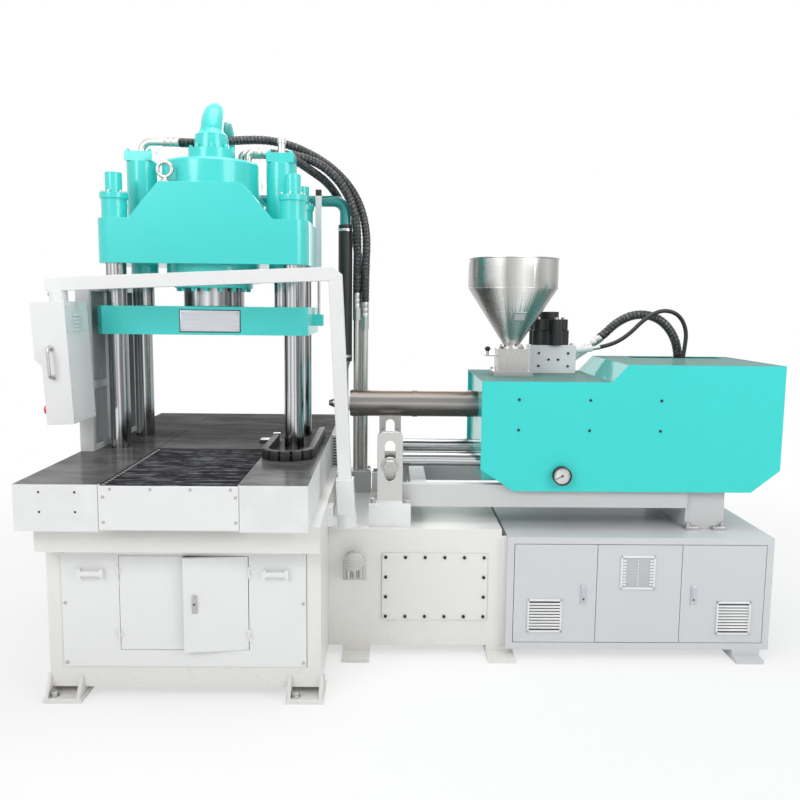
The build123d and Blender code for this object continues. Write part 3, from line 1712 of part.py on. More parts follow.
# Sheet cover of the injection unit, open below and at its left end
with BuildPart() as injection_cover:
    with BuildSketch(Plane.XZ.offset(-cover_half_depth)):
        with BuildLine():
            Polyline(
                (cover_left, cover_bottom + cover_left_cut[1]),
                (cover_left + cover_left_cut[0], cover_bottom),
                (cover_right - cover_right_cut[0], cover_bottom),
                (cover_right, cover_bottom + cover_right_cut[1]),
                (cover_right, cover_high_top),
                (cover_step_end, cover_high_top),
                (cover_step_start, cover_low_top),
                (cover_left, cover_low_top),
                close=True,
            )
        make_face()
    extrude(amount=2 * cover_half_depth)
    open_faces = injection_cover.faces().filter_by(Axis.X).sort_by(Axis.X)[0:1]
    open_faces += injection_cover.faces().filter_by(Axis.Z).sort_by(Axis.Z)[0:1]
    left_slope = injection_cover.faces().sort_by_distance(
        (cover_left + cover_left_cut[0] / 2, 0, cover_bottom + cover_left_cut[1] / 2)
    )[0]
    offset(amount=-sheet, openings=[*open_faces, left_slope], kind=Kind.INTERSECTION)
    span_box(
        hose_opening_x,
        hose_opening_y,
        (cover_high_top - sheet - overrun, cover_high_top + overrun),
        mode=Mode.SUBTRACT,
    )
    bar(
        (hopper_x, 0, cover_low_top - sheet - overrun),
        (0, 0, 1),
        throat_diameter,
        sheet + 2 * overrun,
        mode=Mode.SUBTRACT,
    )
injection_cover.part.label = "injection_cover"
export_step(injection_cover.part, "parts/injection_cover.step")

# Injection housing: front plate, carriage block on the rods and the two shot cylinders
housing_top = cover_low_top - sheet
block_right = housing_plate_left + housing_plate_thickness + housing_block_length
with BuildPart() as injection_housing:
    span_box(
        (housing_plate_left, housing_plate_left + housing_plate_thickness),
        (-housing_plate_half_depth, housing_plate_half_depth),
        (cover_bottom + cover_left_cut[1], housing_top),
    )
    span_box(
        (housing_plate_left, block_right),
        (-housing_block_half_depth, housing_block_half_depth),
        (housing_bottom, housing_top),
    )
    for side in (-1, 1):
        bar(
            (block_right, side * shot_cylinder_y, shot_height),
            (1, 0, 0),
            shot_cylinder_diameter,
            shot_cylinder_length,
        )
        bar(
            (block_right, side * shot_cylinder_y, shot_height),
            (1, 0, 0),
            shot_rod_diameter + 2 * running_gap,
            shot_cylinder_length + overrun,
            mode=Mode.SUBTRACT,
        )
        bar(
            (housing_plate_left - overrun, side * rod_y, rod_height),
            (1, 0, 0),
            rod_diameter + 2 * running_gap,
            block_right - housing_plate_left + 2 * overrun,
            mode=Mode.SUBTRACT,
        )
    bar(
        (housing_plate_left - overrun, 0, shot_height),
        (1, 0, 0),
        barrel_diameter + 2 * seat_gap,
        barrel_right - housing_plate_left + overrun,
        mode=Mode.SUBTRACT,
    )
    bar(
        (barrel_right - overrun, 0, shot_height),
        (1, 0, 0),
        screw_shank_diameter + 2 * overrun,
        block_right - barrel_right + 2 * overrun,
        mode=Mode.SUBTRACT,
    )
    bar((hopper_x, 0, shot_height), (0, 0, 1), throat_diameter, housing_top, mode=Mode.SUBTRACT)
injection_housing.part.label = "injection_housing"
export_step(injection_housing.part, "parts/injection_housing.step")

# Barrel with its bore, feed hole and the seam of its heat shield
with BuildPart() as barrel:
    bar((barrel_left, 0, shot_height), (1, 0, 0), barrel_diameter, barrel_right - barrel_left)
    bar(
        (barrel_left - overrun, 0, shot_height),
        (1, 0, 0),
        screw_diameter + 2 * running_gap,
        barrel_right - barrel_left + 2 * overrun,
        mode=Mode.SUBTRACT,
    )
    bar(
        (hopper_x, 0, shot_height),
        (0, 0, 1),
        throat_diameter,
        barrel_diameter,
        mode=Mode.SUBTRACT,
    )
    with BuildSketch(Plane.YZ.offset(barrel_seam)):
        with Locations((0, shot_height)):
            Circle(barrel_diameter / 2 + overrun)
            Circle(barrel_diameter / 2 - barrel_seam_depth, mode=Mode.SUBTRACT)
    extrude(amount=barrel_seam_width, mode=Mode.SUBTRACT)
barrel.part.label = "barrel"
export_step(barrel.part, "parts/barrel.step")

# Nozzle: rounded tip, cone, body and hexagon against the barrel
with BuildPart() as nozzle:
    hex_start = barrel_left - nozzle_hex_length
    with BuildSketch(Plane.XZ):
        with BuildLine():
            Polyline(
                (nozzle_tip, shot_height + nozzle_bore / 2),
                (nozzle_tip, shot_height + nozzle_tip_radius),
                (nozzle_tip + nozzle_cone_length, shot_height + nozzle_body_radius),
                (hex_start, shot_height + nozzle_body_radius),
                (hex_start, shot_height + nozzle_bore / 2),
                close=True,
            )
        make_face()
    revolve(axis=Axis((0, 0, shot_height), (1, 0, 0)))
    with BuildSketch(Plane.YZ.offset(hex_start)):
        with Locations((0, shot_height)):
            RegularPolygon(nozzle_hex / 2, 6, major_radius=False)
            Circle(nozzle_bore / 2, mode=Mode.SUBTRACT)
    extrude(amount=nozzle_hex_length)
nozzle.part.label = "nozzle"
export_step(nozzle.part, "parts/nozzle.step")

# Screw with its pointed tip and the shank that the crosshead turns
with BuildPart() as screw:
    tip_start = barrel_left + screw_front_gap
    with BuildSketch(Plane.XZ):
        with BuildLine():
            Polyline(
                (tip_start, shot_height),
                (tip_start + screw_tip_length, shot_height + screw_diameter / 2),
                (crosshead_left, shot_height + screw_diameter / 2),
                (crosshead_left, shot_height),
                close=True,
            )
        make_face()
    revolve(axis=Axis((0, 0, shot_height), (1, 0, 0)))
screw.part.label = "screw"
export_step(screw.part, "parts/screw.step")

# Crosshead on the guide rods, with the screw motor and the two shot rods
with BuildPart() as injection_crosshead:
    span_box(
        (crosshead_left, crosshead_left + crosshead_thickness),
        (-crosshead_half_depth, crosshead_half_depth),
        (crosshead_bottom, crosshead_top),
    )
    bar(
        (crosshead_left + crosshead_thickness, 0, shot_height),
        (1, 0, 0),
        motor_diameter,
        motor_length,
    )
    for side in (-1, 1):
        bar(
            (crosshead_left, side * shot_cylinder_y, shot_height),
            (-1, 0, 0),
            shot_rod_diameter,
            shot_rod_length,
        )
        bar(
            (crosshead_left - overrun, side * rod_y, rod_height),
            (1, 0, 0),
            rod_diameter + 2 * running_gap,
            crosshead_thickness + 2 * overrun,
            mode=Mode.SUBTRACT,
        )
injection_crosshead.part.label = "injection_crosshead"
export_step(injection_crosshead.part, "parts/injection_crosshead.step")

# Spun steel hopper: cylinder, cone, neck and bolted flange
with BuildPart() as hopper:
    neck_top = hopper_neck_bottom + hopper_neck_length
    flange_top = hopper_neck_bottom + hopper_flange_thickness
    neck_radius = hopper_neck_diameter / 2
    wide_radius = hopper_diameter / 2
    with BuildSketch(Plane.XZ):
        with BuildLine():
            Polyline(
                (hopper_x + neck_radius - hopper_wall, hopper_neck_bottom),
                (hopper_x + hopper_flange_diameter / 2, hopper_neck_bottom),
                (hopper_x + hopper_flange_diameter / 2, flange_top),
                (hopper_x + neck_radius, flange_top),
                (hopper_x + neck_radius, neck_top),
                (hopper_x + wide_radius, hopper_cylinder_bottom),
                (hopper_x + wide_radius, hopper_rim_height),
                (hopper_x + wide_radius - hopper_wall, hopper_rim_height),
                (hopper_x + wide_radius - hopper_wall, hopper_cylinder_bottom),
                (hopper_x + neck_radius - hopper_wall, neck_top),
                close=True,
            )
        make_face()
    revolve(axis=Axis((hopper_x, 0, 0), (0, 0, 1)))
hopper.part.label = "hopper"
export_step(hopper.part, "parts/hopper.step")

# Hopper base on the cover, with the throat and the slot of the slide gate
with BuildPart() as hopper_base:
    half_foot = hopper_base_foot_width / 2
    half_base_block = hopper_base_width / 2
    span_box(
        (hopper_x - half_foot, hopper_x + half_foot),
        (-half_foot, half_foot),
        (cover_low_top, cover_low_top + hopper_base_foot_height),
    )
    span_box(
        (hopper_x - half_base_block, hopper_x + half_base_block),
        (-half_base_block, half_base_block),
        (cover_low_top + hopper_base_foot_height, hopper_neck_bottom),
    )
    bar(
        (hopper_x, 0, cover_low_top - overrun),
        (0, 0, 1),
        throat_diameter,
        hopper_neck_bottom - cover_low_top + 2 * overrun,
        mode=Mode.SUBTRACT,
    )
    span_box(
        (hopper_x - half_base_block - overrun, hopper_x + half_base_block + overrun),
        (-gate_width / 2 - part_gap, gate_width / 2 + part_gap),
        (gate_height, gate_height + gate_thickness + part_gap),
        mode=Mode.SUBTRACT,
    )
hopper_base.part.label = "hopper_base"
export_step(hopper_base.part, "parts/hopper_base.step")

# Slide gate with its pull pin, closed at rest
with BuildPart() as hopper_gate:
    gate_left = hopper_x - half_base_block - gate_tail
    span_box(
        (gate_left, gate_left + gate_tail + gate_reach),
        (-gate_width / 2, gate_width / 2),
        (gate_height, gate_height + gate_thickness),
    )
    bar(
        (gate_left + gate_pin_diameter, 0, gate_height + gate_thickness),
        (0, 0, 1),
        gate_pin_diameter,
        gate_pin_height,
    )
hopper_gate.part.label = "hopper_gate"
export_step(hopper_gate.part, "parts/hopper_gate.step")

# Valve block on the cover, with a fitting in line with each hose
with BuildPart() as valve_block:
    span_box(valve_block_x, valve_block_y, (cover_low_top, valve_block_top))
    fittings = (
        (thick_hose_route, thick_fitting_diameter, thick_fitting_length),
        (thin_hose_route, thin_fitting_diameter, thin_fitting_length),
    )
    for route, fitting_diameter, fitting_length in fittings:
        bar(route[0], Vector(*route[0]) - Vector(*route[1]), fitting_diameter, fitting_length)
valve_block.part.label = "valve_block"
export_step(valve_block.part, "parts/valve_block.step")

# Lobed hydraulic motor valve standing on the block
with BuildPart() as motor_valve:
    tiers = (
        (valve_block_top, lower_body_diameter, lower_lobe_ring, lower_body_height),
        (valve_block_top + lower_body_height, upper_body_diameter, upper_lobe_ring, upper_body_height),
    )
    for tier_bottom, tier_diameter, tier_ring, tier_height in tiers:
        with BuildSketch(Plane.XY.offset(tier_bottom)):
            with Locations((motor_valve_x, motor_valve_y)):
                Circle(tier_diameter / 2)
                with PolarLocations(tier_ring, lobe_count):
                    Circle(lobe_diameter / 2)
        extrude(amount=tier_height)
    bar(
        (motor_valve_x, motor_valve_y, valve_block_top + lower_body_height + upper_body_height),
        (0, 0, 1),
        valve_cap_diameter,
        valve_cap_height,
    )
motor_valve.part.label = "motor_valve"
export_step(motor_valve.part, "parts/motor_valve.step")

# Pressure gauge on the front of the cover
with BuildPart() as pressure_gauge:
    gauge_front = -cover_half_depth - gauge_depth
    bar((gauge_x, -cover_half_depth, gauge_z), (0, -1, 0), gauge_diameter, gauge_depth)
    bar(
        (gauge_x, gauge_front + gauge_recess, gauge_z),
        (0, -1, 0),
        gauge_diameter - 2 * gauge_rim,
        gauge_recess + overrun,
        mode=Mode.SUBTRACT,
    )
    bar(
        (gauge_x, gauge_front + gauge_recess + gauge_recess, gauge_z),
        (0, -1, 0),
        needle_pin_diameter + 2 * running_gap,
        gauge_recess + overrun,
        mode=Mode.SUBTRACT,
    )
pressure_gauge.part.label = "pressure_gauge"
export_step(pressure_gauge.part, "parts/pressure_gauge.step")

# Needle of the gauge with its pin
with BuildPart() as gauge_needle:
    needle_y = gauge_front + gauge_recess - part_gap
    with BuildSketch(Plane.XZ.offset(-needle_y)):
        with Locations(Location((gauge_x, gauge_z), needle_rest)):
            with Locations((0, (needle_length - needle_tail) / 2)):
                Rectangle(needle_width, needle_length + needle_tail)
            Circle(needle_hub_diameter / 2)
    extrude(amount=needle_thickness)
    bar((gauge_x, needle_y, gauge_z), (0, 1, 0), needle_pin_diameter, gauge_recess - needle_thickness)
gauge_needle.part.label = "gauge_needle"
export_step(gauge_needle.part, "parts/gauge_needle.step")

# Free hoses from the valve block into the cover
thick_hose = route_tube("thick_hose", thick_hose_route, thick_hose_diameter)
thick_hose.part.label = "thick_hose"
export_step(thick_hose.part, "parts/thick_hose.step")

thin_hose = route_tube("thin_hose", thin_hose_route, thin_hose_diameter)
thin_hose.part.label = "thin_hose"
export_step(thin_hose.part, "parts/thin_hose.step")
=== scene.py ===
import json
import math

import bpy
from bpy.props import FloatProperty, FloatVectorProperty, PointerProperty
from mathutils import Matrix, Vector
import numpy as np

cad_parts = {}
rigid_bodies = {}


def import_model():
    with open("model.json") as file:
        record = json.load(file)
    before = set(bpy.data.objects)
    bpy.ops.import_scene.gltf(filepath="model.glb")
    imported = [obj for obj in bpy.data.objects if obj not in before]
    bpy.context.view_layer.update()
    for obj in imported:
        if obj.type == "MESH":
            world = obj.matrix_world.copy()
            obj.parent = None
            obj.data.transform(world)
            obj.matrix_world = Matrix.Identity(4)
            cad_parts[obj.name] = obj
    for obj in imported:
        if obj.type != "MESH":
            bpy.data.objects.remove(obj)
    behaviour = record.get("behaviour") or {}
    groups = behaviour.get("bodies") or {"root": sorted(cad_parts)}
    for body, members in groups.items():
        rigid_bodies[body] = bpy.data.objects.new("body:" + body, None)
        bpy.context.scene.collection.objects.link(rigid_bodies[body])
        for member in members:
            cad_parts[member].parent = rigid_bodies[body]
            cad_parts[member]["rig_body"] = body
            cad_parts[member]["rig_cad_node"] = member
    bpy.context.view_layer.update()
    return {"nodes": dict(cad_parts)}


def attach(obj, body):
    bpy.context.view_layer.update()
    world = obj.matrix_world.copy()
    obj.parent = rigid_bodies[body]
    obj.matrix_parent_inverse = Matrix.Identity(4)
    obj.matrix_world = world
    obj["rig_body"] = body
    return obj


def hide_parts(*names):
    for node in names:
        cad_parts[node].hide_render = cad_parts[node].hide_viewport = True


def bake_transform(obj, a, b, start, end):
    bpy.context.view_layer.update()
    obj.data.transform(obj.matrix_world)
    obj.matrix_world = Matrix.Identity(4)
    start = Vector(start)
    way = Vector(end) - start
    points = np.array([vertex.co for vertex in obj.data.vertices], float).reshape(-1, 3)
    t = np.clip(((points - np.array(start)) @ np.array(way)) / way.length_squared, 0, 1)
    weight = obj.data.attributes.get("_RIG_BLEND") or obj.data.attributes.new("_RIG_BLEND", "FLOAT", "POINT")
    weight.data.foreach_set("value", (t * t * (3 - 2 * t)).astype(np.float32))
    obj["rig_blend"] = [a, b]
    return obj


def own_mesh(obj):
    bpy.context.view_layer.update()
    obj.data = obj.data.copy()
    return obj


bl_info = {
    "name": "Vertical moulding machine",
    "version": (1, 0, 0),
    "blender": (4, 5, 0),
    "location": "View3D > Sidebar > Machine",
    "description": "Dresses the packed moulding machine with finishes, hoses, fasteners and a studio",
    "category": "Object",
}

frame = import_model()
NODES = frame["nodes"]
MM = 0.001
UP = Vector((0, 0, 1))
DOWN = Vector((0, 0, -1))
FRONT = Vector((0, -1, 0))
BACK = Vector((0, 1, 0))
RIGHT = Vector((1, 0, 0))

# Faces and lines that carry small pieces, in millimetres from the frame's origin
TABLE_FRONT = -1030
PANEL_FRONT = -864
HATCH_FRONT = -438
CABINET_SEAT = -469.8
COVER_SIDE = 350
VALVE_TOP = 2472
BARREL_HEIGHT = 1163
HOPPER_X = 1513

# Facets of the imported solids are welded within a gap, and merged where they are flat within an angle
WELD_GAP = 0.00002
FLAT_ANGLE = math.radians(0.5)

# A crimp's length as a share of its hose's diameter, and the diameter below which a hose has no guard
CRIMP_SHARE = 1.9
THIN_HOSE = 0.03

# The swing arm leans inwards, and the right leaf of the base stands ajar
ARM = Matrix.Translation((0.698, -0.510, 0.717)) @ Matrix.Rotation(math.radians(-2.7), 4, "Y")
LEAF_HINGE = Vector((0.312, -0.8695, 0))
LEAF_TURN = Matrix.Rotation(math.radians(7), 4, "Z")
AJAR = Matrix.Translation(LEAF_HINGE) @ LEAF_TURN @ Matrix.Translation(-LEAF_HINGE)

# Free hoses: body, length and diameter in metres, and the route by the same points as in the
# part's source
HOSES = {
    "top_hose_1": ("base", 1.801, .042, [
        (-.240, 0, 2.455), (-.198, 0, 2.455), (-.155, .013, 2.456), (-.117, .038, 2.459),
        (-.088, .072, 2.464), (-.030, .130, 2.480), (.090, .226, 2.512), (.240, .292, 2.530),
        (.400, .328, 2.496), (.570, .350, 2.406), (.704, .354, 2.262), (.764, .354, 2.070),
        (.753, .350, 1.835), (.753, .350, 1.600),
    ]),
    "top_hose_2": ("base", 1.213, .042, [
        (.150, .140, 2.425), (.216, .140, 2.425), (.330, .176, 2.436), (.440, .222, 2.428),
        (.545, .262, 2.384), (.640, .284, 2.288), (.702, .304, 2.150), (.712, .332, 1.995),
        (.707, .350, 1.822), (.707, .350, 1.650),
    ]),
    "top_hose_3": ("base", 1.190, .042, [
        (.195, .090, 2.425), (.262, .090, 2.425), (.325, .108, 2.420), (.395, .160, 2.405),
        (.472, .246, 2.362), (.545, .322, 2.320), (.605, .402, 2.245), (.668, .440, 2.110),
        (.708, .428, 1.965), (.731, .400, 1.810), (.731, .400, 1.660),
    ]),
    "thick_hose": ("carriage", .789, .046, [
        (1.968, .262, 1.450), (2.040, .262, 1.500), (2.128, .262, 1.590), (2.238, .262, 1.634),
        (2.356, .262, 1.610), (2.440, .262, 1.520), (2.472, .262, 1.406), (2.474, .262, 1.300),
    ]),
    "thin_hose": ("carriage", .833, .022, [
        (1.972, .172, 1.446), (2.060, .173, 1.458), (2.160, .178, 1.512), (2.252, .186, 1.606),
        (2.346, .194, 1.656), (2.440, .202, 1.634), (2.490, .208, 1.548), (2.484, .212, 1.440),
        (2.470, .213, 1.340),
    ]),
}


def maths(operation, reflected=False):
    """A method that adds the Math node of one Python operator."""
    def method(self, other):
        first, second = (other, self) if reflected else (self, other)
        return self.finish.node("ShaderNodeMath", {"operation": operation}, {0: first, 1: second})
    return method


class Wire:
    """A shader socket that takes part in Python arithmetic."""

    __add__ = maths("ADD")
    __radd__ = maths("ADD", True)
    __sub__ = maths("SUBTRACT")
    __rsub__ = maths("SUBTRACT", True)
    __mul__ = maths("MULTIPLY")
    __rmul__ = maths("MULTIPLY", True)
    __gt__ = maths("GREATER_THAN")
    __lt__ = maths("LESS_THAN")

    def __init__(self, finish, socket):
        self.finish = finish
        self.socket = socket

    def above(self, low, high):
        """Ramp smoothly from 0 at low to 1 at high."""
        return self.finish.node(
            "ShaderNodeMapRange",
            {"interpolation_type": "SMOOTHSTEP"},
            {"Value": self, "From Min": low, "From Max": high},
        )


class Finish:
    """A node material that is written as plain expressions."""

    def __init__(self, name, world=None):
        self.material = world or bpy.data.materials.new(name)
        self.material.use_nodes = True
        self.tree = self.material.node_tree
        self.shader = self.tree.nodes["Background" if world else "Principled BSDF"]
        self.place = None if world else self.node("ShaderNodeTexCoord", output="Object")

    def node(self, kind, settings=None, inputs=None, output=0):
        """Add a node with its settings and the values or links of its sockets."""
        made = self.tree.nodes.new(kind)
        for key, value in (settings or {}).items():
            if key == "stops":
                self.set_stops(made.color_ramp, value)
            else:
                setattr(made, key, value)
        for key, value in (inputs or {}).items():
            self.feed(made.inputs[key], value)
        return Wire(self, made.outputs[output])

    def set_stops(self, ramp, stops):
        while len(ramp.elements) < len(stops):
            ramp.elements.new(1.0)
        for element, (position, colour) in zip(ramp.elements, stops):
            element.position = position
            element.color = (*colour, 1.0)

    def feed(self, socket, value):
        if isinstance(value, Wire):
            self.tree.links.new(value.socket, socket)
        elif isinstance(value, (tuple, list)) and socket.type == "RGBA":
            socket.default_value = (*value[:3], 1.0)
        else:
            socket.default_value = value

    def set(self, **values):
        for key, value in values.items():
            self.feed(self.shader.inputs[key.replace("_", " ").title().replace("Ior", "IOR")], value)
        return self

    def axis(self, index):
        return self.node("ShaderNodeSeparateXYZ", None, {0: self.place}, index)

    def facing(self, index):
        """How far the surface faces along one axis, from -1 to 1."""
        normal = self.node("ShaderNodeNewGeometry", output="Normal")
        return self.node("ShaderNodeSeparateXYZ", None, {0: normal}, index)

    def seen(self):
        """One where the camera, a mirror or glass looks, nought for light on its way."""
        path = self.tree.nodes.new("ShaderNodeLightPath").outputs
        kinds = ("Camera", "Glossy", "Transmission")
        eye, mirror, glass = (Wire(self, path[f"Is {kind} Ray"]) for kind in kinds)
        settings = {"operation": "ADD", "use_clamp": True}
        return self.node("ShaderNodeMath", settings, {0: eye + mirror, 1: glass})

    def stretched(self, scale, turn=(0, 0, 0)):
        return self.node(
            "ShaderNodeMapping", None, {"Vector": self.place, "Scale": scale, "Rotation": turn}
        )

    def noise(self, scale, detail=3.0, place=None, rough=0.5):
        return self.node(
            "ShaderNodeTexNoise",
            None,
            {"Vector": place or self.place, "Scale": scale, "Detail": detail, "Roughness": rough},
        )

    def mix(self, amount, first, second):
        return self.node("ShaderNodeMix", {"data_type": "RGBA"}, {"Factor": amount, 6: first, 7: second}, 2)

    def bump(self, height, strength, distance):
        normal = self.node(
            "ShaderNodeBump", None, {"Height": height, "Strength": strength, "Distance": distance}
        )
        self.feed(self.shader.inputs["Normal"], normal)
        return self

    def orange_peel(self):
        """The fine ripple of sprayed paint."""
        return self.bump(self.noise(420.0, 2.0), 0.06, 0.0006)


def shade(colour, factor):
    """A colour made darker or lighter by a factor."""
    return tuple(min(1.0, part * factor) for part in colour)


def painted(name, colour, rough, grime=0.0, coat=0.0, top_greying=0.0):
    """Sprayed paint: faint orange peel, slow tone drift, dirt towards the floor, and upward faces turned a
    matte grey.
    """
    finish = Finish(name)
    drift = finish.noise(2.3, 2.0)
    cloud = finish.noise(9.0, 4.0, rough=0.6)
    tone = finish.mix(drift * 0.7 + cloud * 0.3, shade(colour, 0.97), shade(colour, 1.03))
    gloss = coat
    if top_greying:
        # Upward faces are mixed towards a dull grey and lose their gloss.
        greyed_top = finish.facing(2).above(0.3, 0.95) * (0.8 + 0.2 * cloud) * top_greying
        tone = finish.mix(greyed_top, tone, (0.19, 0.215, 0.20))
        gloss = (1.0 - greyed_top) * coat
        finish.set(specular_ior_level=0.0)
    if grime:
        low = 1.0 - finish.axis(2).above(0.0, 0.5)
        speck = finish.noise(38.0, 5.0, rough=0.7).above(0.52, 0.8)
        tone = finish.mix((low * 0.5 + speck * low) * grime, tone, (0.42, 0.40, 0.36))
    finish.set(base_color=tone, coat_weight=gloss, coat_roughness=0.08)
    finish.set(roughness=rough - 0.03 + 0.06 * cloud)
    return finish.orange_peel()


def two_tone(name, colour, limit, metal_colour):
    """Gloss paint up to a height, plated tube above it."""
    finish = Finish(name)
    bare = finish.axis(2) > limit
    cloud = finish.noise(9.0, 4.0)
    tone = finish.mix(cloud, shade(colour, 0.97), shade(colour, 1.03))
    finish.set(base_color=finish.mix(bare, tone, metal_colour), metallic=bare)
    finish.set(roughness=0.26 + bare * 0.06 + 0.04 * cloud)
    finish.set(coat_weight=(1.0 - bare) * 0.45)
    return finish.orange_peel()


def machined(name, colour, rough, stretch, scale, depth):
    """Bare metal with tool lines along one direction and faint handling stains."""
    finish = Finish(name)
    lines = finish.noise(scale, 3.0, finish.stretched(stretch), 0.65)
    stains = finish.noise(7.0, 5.0, rough=0.65)
    tone = finish.mix(lines.above(0.3, 0.7), shade(colour, 0.86), shade(colour, 1.08))
    tone = finish.mix(stains.above(0.55, 0.8) * 0.1, tone, shade(colour, 0.45))
    finish.set(base_color=tone, metallic=1.0, roughness=rough - 0.06 + lines * 0.12 + stains * 0.05)
    return finish.bump(lines, depth, 0.0004)


# Painted reflections: bands of tone across a round piece by the way that its surface faces, from one edge to
# the other
GROUND_REFLECTIONS = (
    (0.0, 0.30), (0.06, 0.72), (0.13, 0.16), (0.24, 0.42), (0.31, 0.95), (0.37, 0.30), (0.44, 0.62),
    (0.50, 0.98), (0.57, 0.34), (0.64, 0.86), (0.70, 0.22), (0.80, 0.10), (0.88, 0.55), (1.0, 0.24),
)
ROLLED_REFLECTIONS = (
    (0.0, 0.55), (0.10, 0.34), (0.16, 0.60), (0.30, 0.95), (0.37, 0.42), (0.46, 0.62), (0.55, 0.98),
    (0.63, 0.72), (0.72, 0.36), (0.82, 0.58), (0.93, 0.30), (1.0, 0.46),
)
BARREL_REFLECTIONS = (
    (0.0, 0.16), (0.20, 0.30), (0.34, 0.22), (0.47, 0.60), (0.55, 1.0), (0.62, 0.62), (0.72, 0.52),
    (0.82, 0.40), (0.91, 0.30), (1.0, 0.22),
)


def reflection_banded(name, colour, reflection_tones, axis, rough, stretch, tint=None, paint=None, limit=0.0):
    """Round metal with painted reflection bands by the way it faces and fine lines along its length, tinted
    on top or painted above a height.
    """
    finish = Finish(name)
    stops = [(at, shade(colour, level)) for at, level in reflection_tones]
    wander = finish.noise(3.0, 2.0)
    # The colour follows the way the surface faces: painted reflection bands.
    reflection_bands = finish.node(
        "ShaderNodeValToRGB", {"stops": stops}, {0: finish.facing(axis) * 0.5 + (wander * 0.06 + 0.47)}
    )
    fine = finish.noise(9.0, 3.0, finish.stretched(stretch), 0.65)
    tone = finish.mix(fine.above(0.35, 0.7) * 0.3, reflection_bands, shade(colour, 0.45))
    if tint:
        tone = finish.mix(finish.facing(2).above(0.55, 0.95) * 0.7, tone, tint)
    if paint:
        bare = finish.axis(2) < limit
        finish.set(base_color=finish.mix(bare, paint, tone), metallic=bare)
        finish.set(roughness=0.26 + bare * (rough - 0.26) + fine * 0.06, coat_weight=(1.0 - bare) * 0.45)
    else:
        finish.set(base_color=tone, metallic=1.0, roughness=rough + fine * 0.08)
    return finish.bump(fine, 0.03, 0.0004)


def scratched_table(name, top, side):
    """Ground steel on the top and in the slide's channel, scratched and specked, over painted sides."""
    finish = Finish(name)
    middle, half_width, front_end, back_end = 0.03, 0.2745, -1.0155, 1.025
    across = finish.node("ShaderNodeMath", {"operation": "ABSOLUTE"}, {0: finish.axis(0) - middle})
    channel = (across < half_width) * (finish.axis(1) > front_end) * (finish.axis(1) < back_end)
    flat = finish.node(
        "ShaderNodeMath", {"operation": "MAXIMUM"}, {0: finish.facing(2).above(0.5, 0.8), 1: channel}
    )
    scratch_x = finish.noise(30.0, 4.0, finish.stretched((2.0, 90.0, 1.0), (0, 0, 0.5)), 0.7)
    scratch_y = finish.noise(26.0, 4.0, finish.stretched((80.0, 2.5, 1.0), (0, 0, -0.2)), 0.7)
    wipe = finish.noise(3.2, 5.0, finish.stretched((1.0, 2.4, 1.0), (0, 0, 0.7)), 0.6)
    rust = finish.noise(60.0, 6.0, rough=0.75).above(0.66, 0.8)
    steel = finish.mix(wipe.above(0.35, 0.7), shade(top, 0.62), shade(top, 1.25))
    steel = finish.mix(scratch_x.above(0.6, 0.78) * 0.6, steel, shade(top, 2.3))
    steel = finish.mix(scratch_y.above(0.62, 0.8) * 0.5, steel, shade(top, 0.4))
    steel = finish.mix(rust * 0.35, steel, (0.12, 0.07, 0.04))
    cloud = finish.noise(9.0, 4.0)
    paint = finish.mix(cloud.above(0.3, 0.75), shade(side, 0.95), shade(side, 1.02))
    front = 1.0 - finish.axis(1).above(-0.75, 0.25)
    finish.set(base_color=finish.mix(flat, paint, steel), specular_ior_level=0.0, coat_roughness=0.2)
    finish.set(roughness=0.5, coat_weight=0.3 + flat * (front * (0.15 + wipe * 0.5) - 0.22))
    return finish.bump(scratch_x * 0.5 + scratch_y * 0.5, 0.08, 0.0005)


def moulded(name, colour, rough, grain=700.0, depth=0.08, scuff=None):
    """Plastic or rubber with a fine grain, slight handling shine and pale scuffs."""
    finish = Finish(name)
    fine = finish.noise(grain, 2.0)
    rub = finish.noise(14.0, 4.0, rough=0.6)
    tone = finish.mix(rub.above(0.35, 0.75), shade(colour, 0.8), shade(colour, 1.35))
    if scuff:
        tone = finish.mix(finish.noise(85.0, 4.0, rough=0.7).above(0.5, 0.62) * 0.7, tone, scuff)
    finish.set(base_color=tone, roughness=rough - 0.08 + rub * 0.16)
    return finish.bump(fine, depth, 0.0004)


def folded(name, colour, worn):
    """Coated cloth folds, pale on the crests that face the front: a painted highlight, broken up by rubbed
    wear.
    """
    finish = Finish(name)
    fine = finish.noise(900.0, 2.0)
    rub = finish.noise(40.0, 4.0, finish.stretched((0.2, 1.0, 1.0)), 0.65).above(0.4, 0.72)
    front = (0.0 - finish.facing(1)).above(0.1, 0.9)
    # Painted highlight broken by rubbed wear: the crests that face the front are mixed towards the pale
    # colour.
    fold_low, fold_high = 0.9468, 0.9535
    crest_highlight = finish.axis(2).above(fold_low, fold_high) * front
    finish.set(base_color=finish.mix(crest_highlight * (0.12 + rub * 0.88), colour, worn), roughness=0.4 + rub * 0.2)
    finish.set(specular_ior_level=0.05)
    return finish.bump(fine, 0.15, 0.0004)


def cast(name, colour, rough):
    """Black coated casting with a coarse sand grain."""
    finish = Finish(name)
    sand = finish.noise(260.0, 4.0, rough=0.7)
    worn = finish.noise(22.0, 5.0, rough=0.7).above(0.6, 0.8)
    finish.set(base_color=finish.mix(worn * 0.4, colour, shade(colour, 3.5)))
    finish.set(roughness=rough - 0.1 * worn, metallic=0.25)
    return finish.bump(sand, 0.35, 0.0008)


def glass_screen(name, colour):
    """Dark glossy display with faint fingerprints."""
    finish = Finish(name)
    print_marks = finish.noise(55.0, 5.0, rough=0.7).above(0.5, 0.8)
    finish.set(base_color=colour, roughness=0.06 + print_marks * 0.12, coat_weight=0.6)
    return finish


def colour_of(name, description, default):
    """A colour that a user can change."""
    return FloatVectorProperty(
        name=name, description=description, subtype="COLOR", size=3, min=0, max=1, default=default
    )


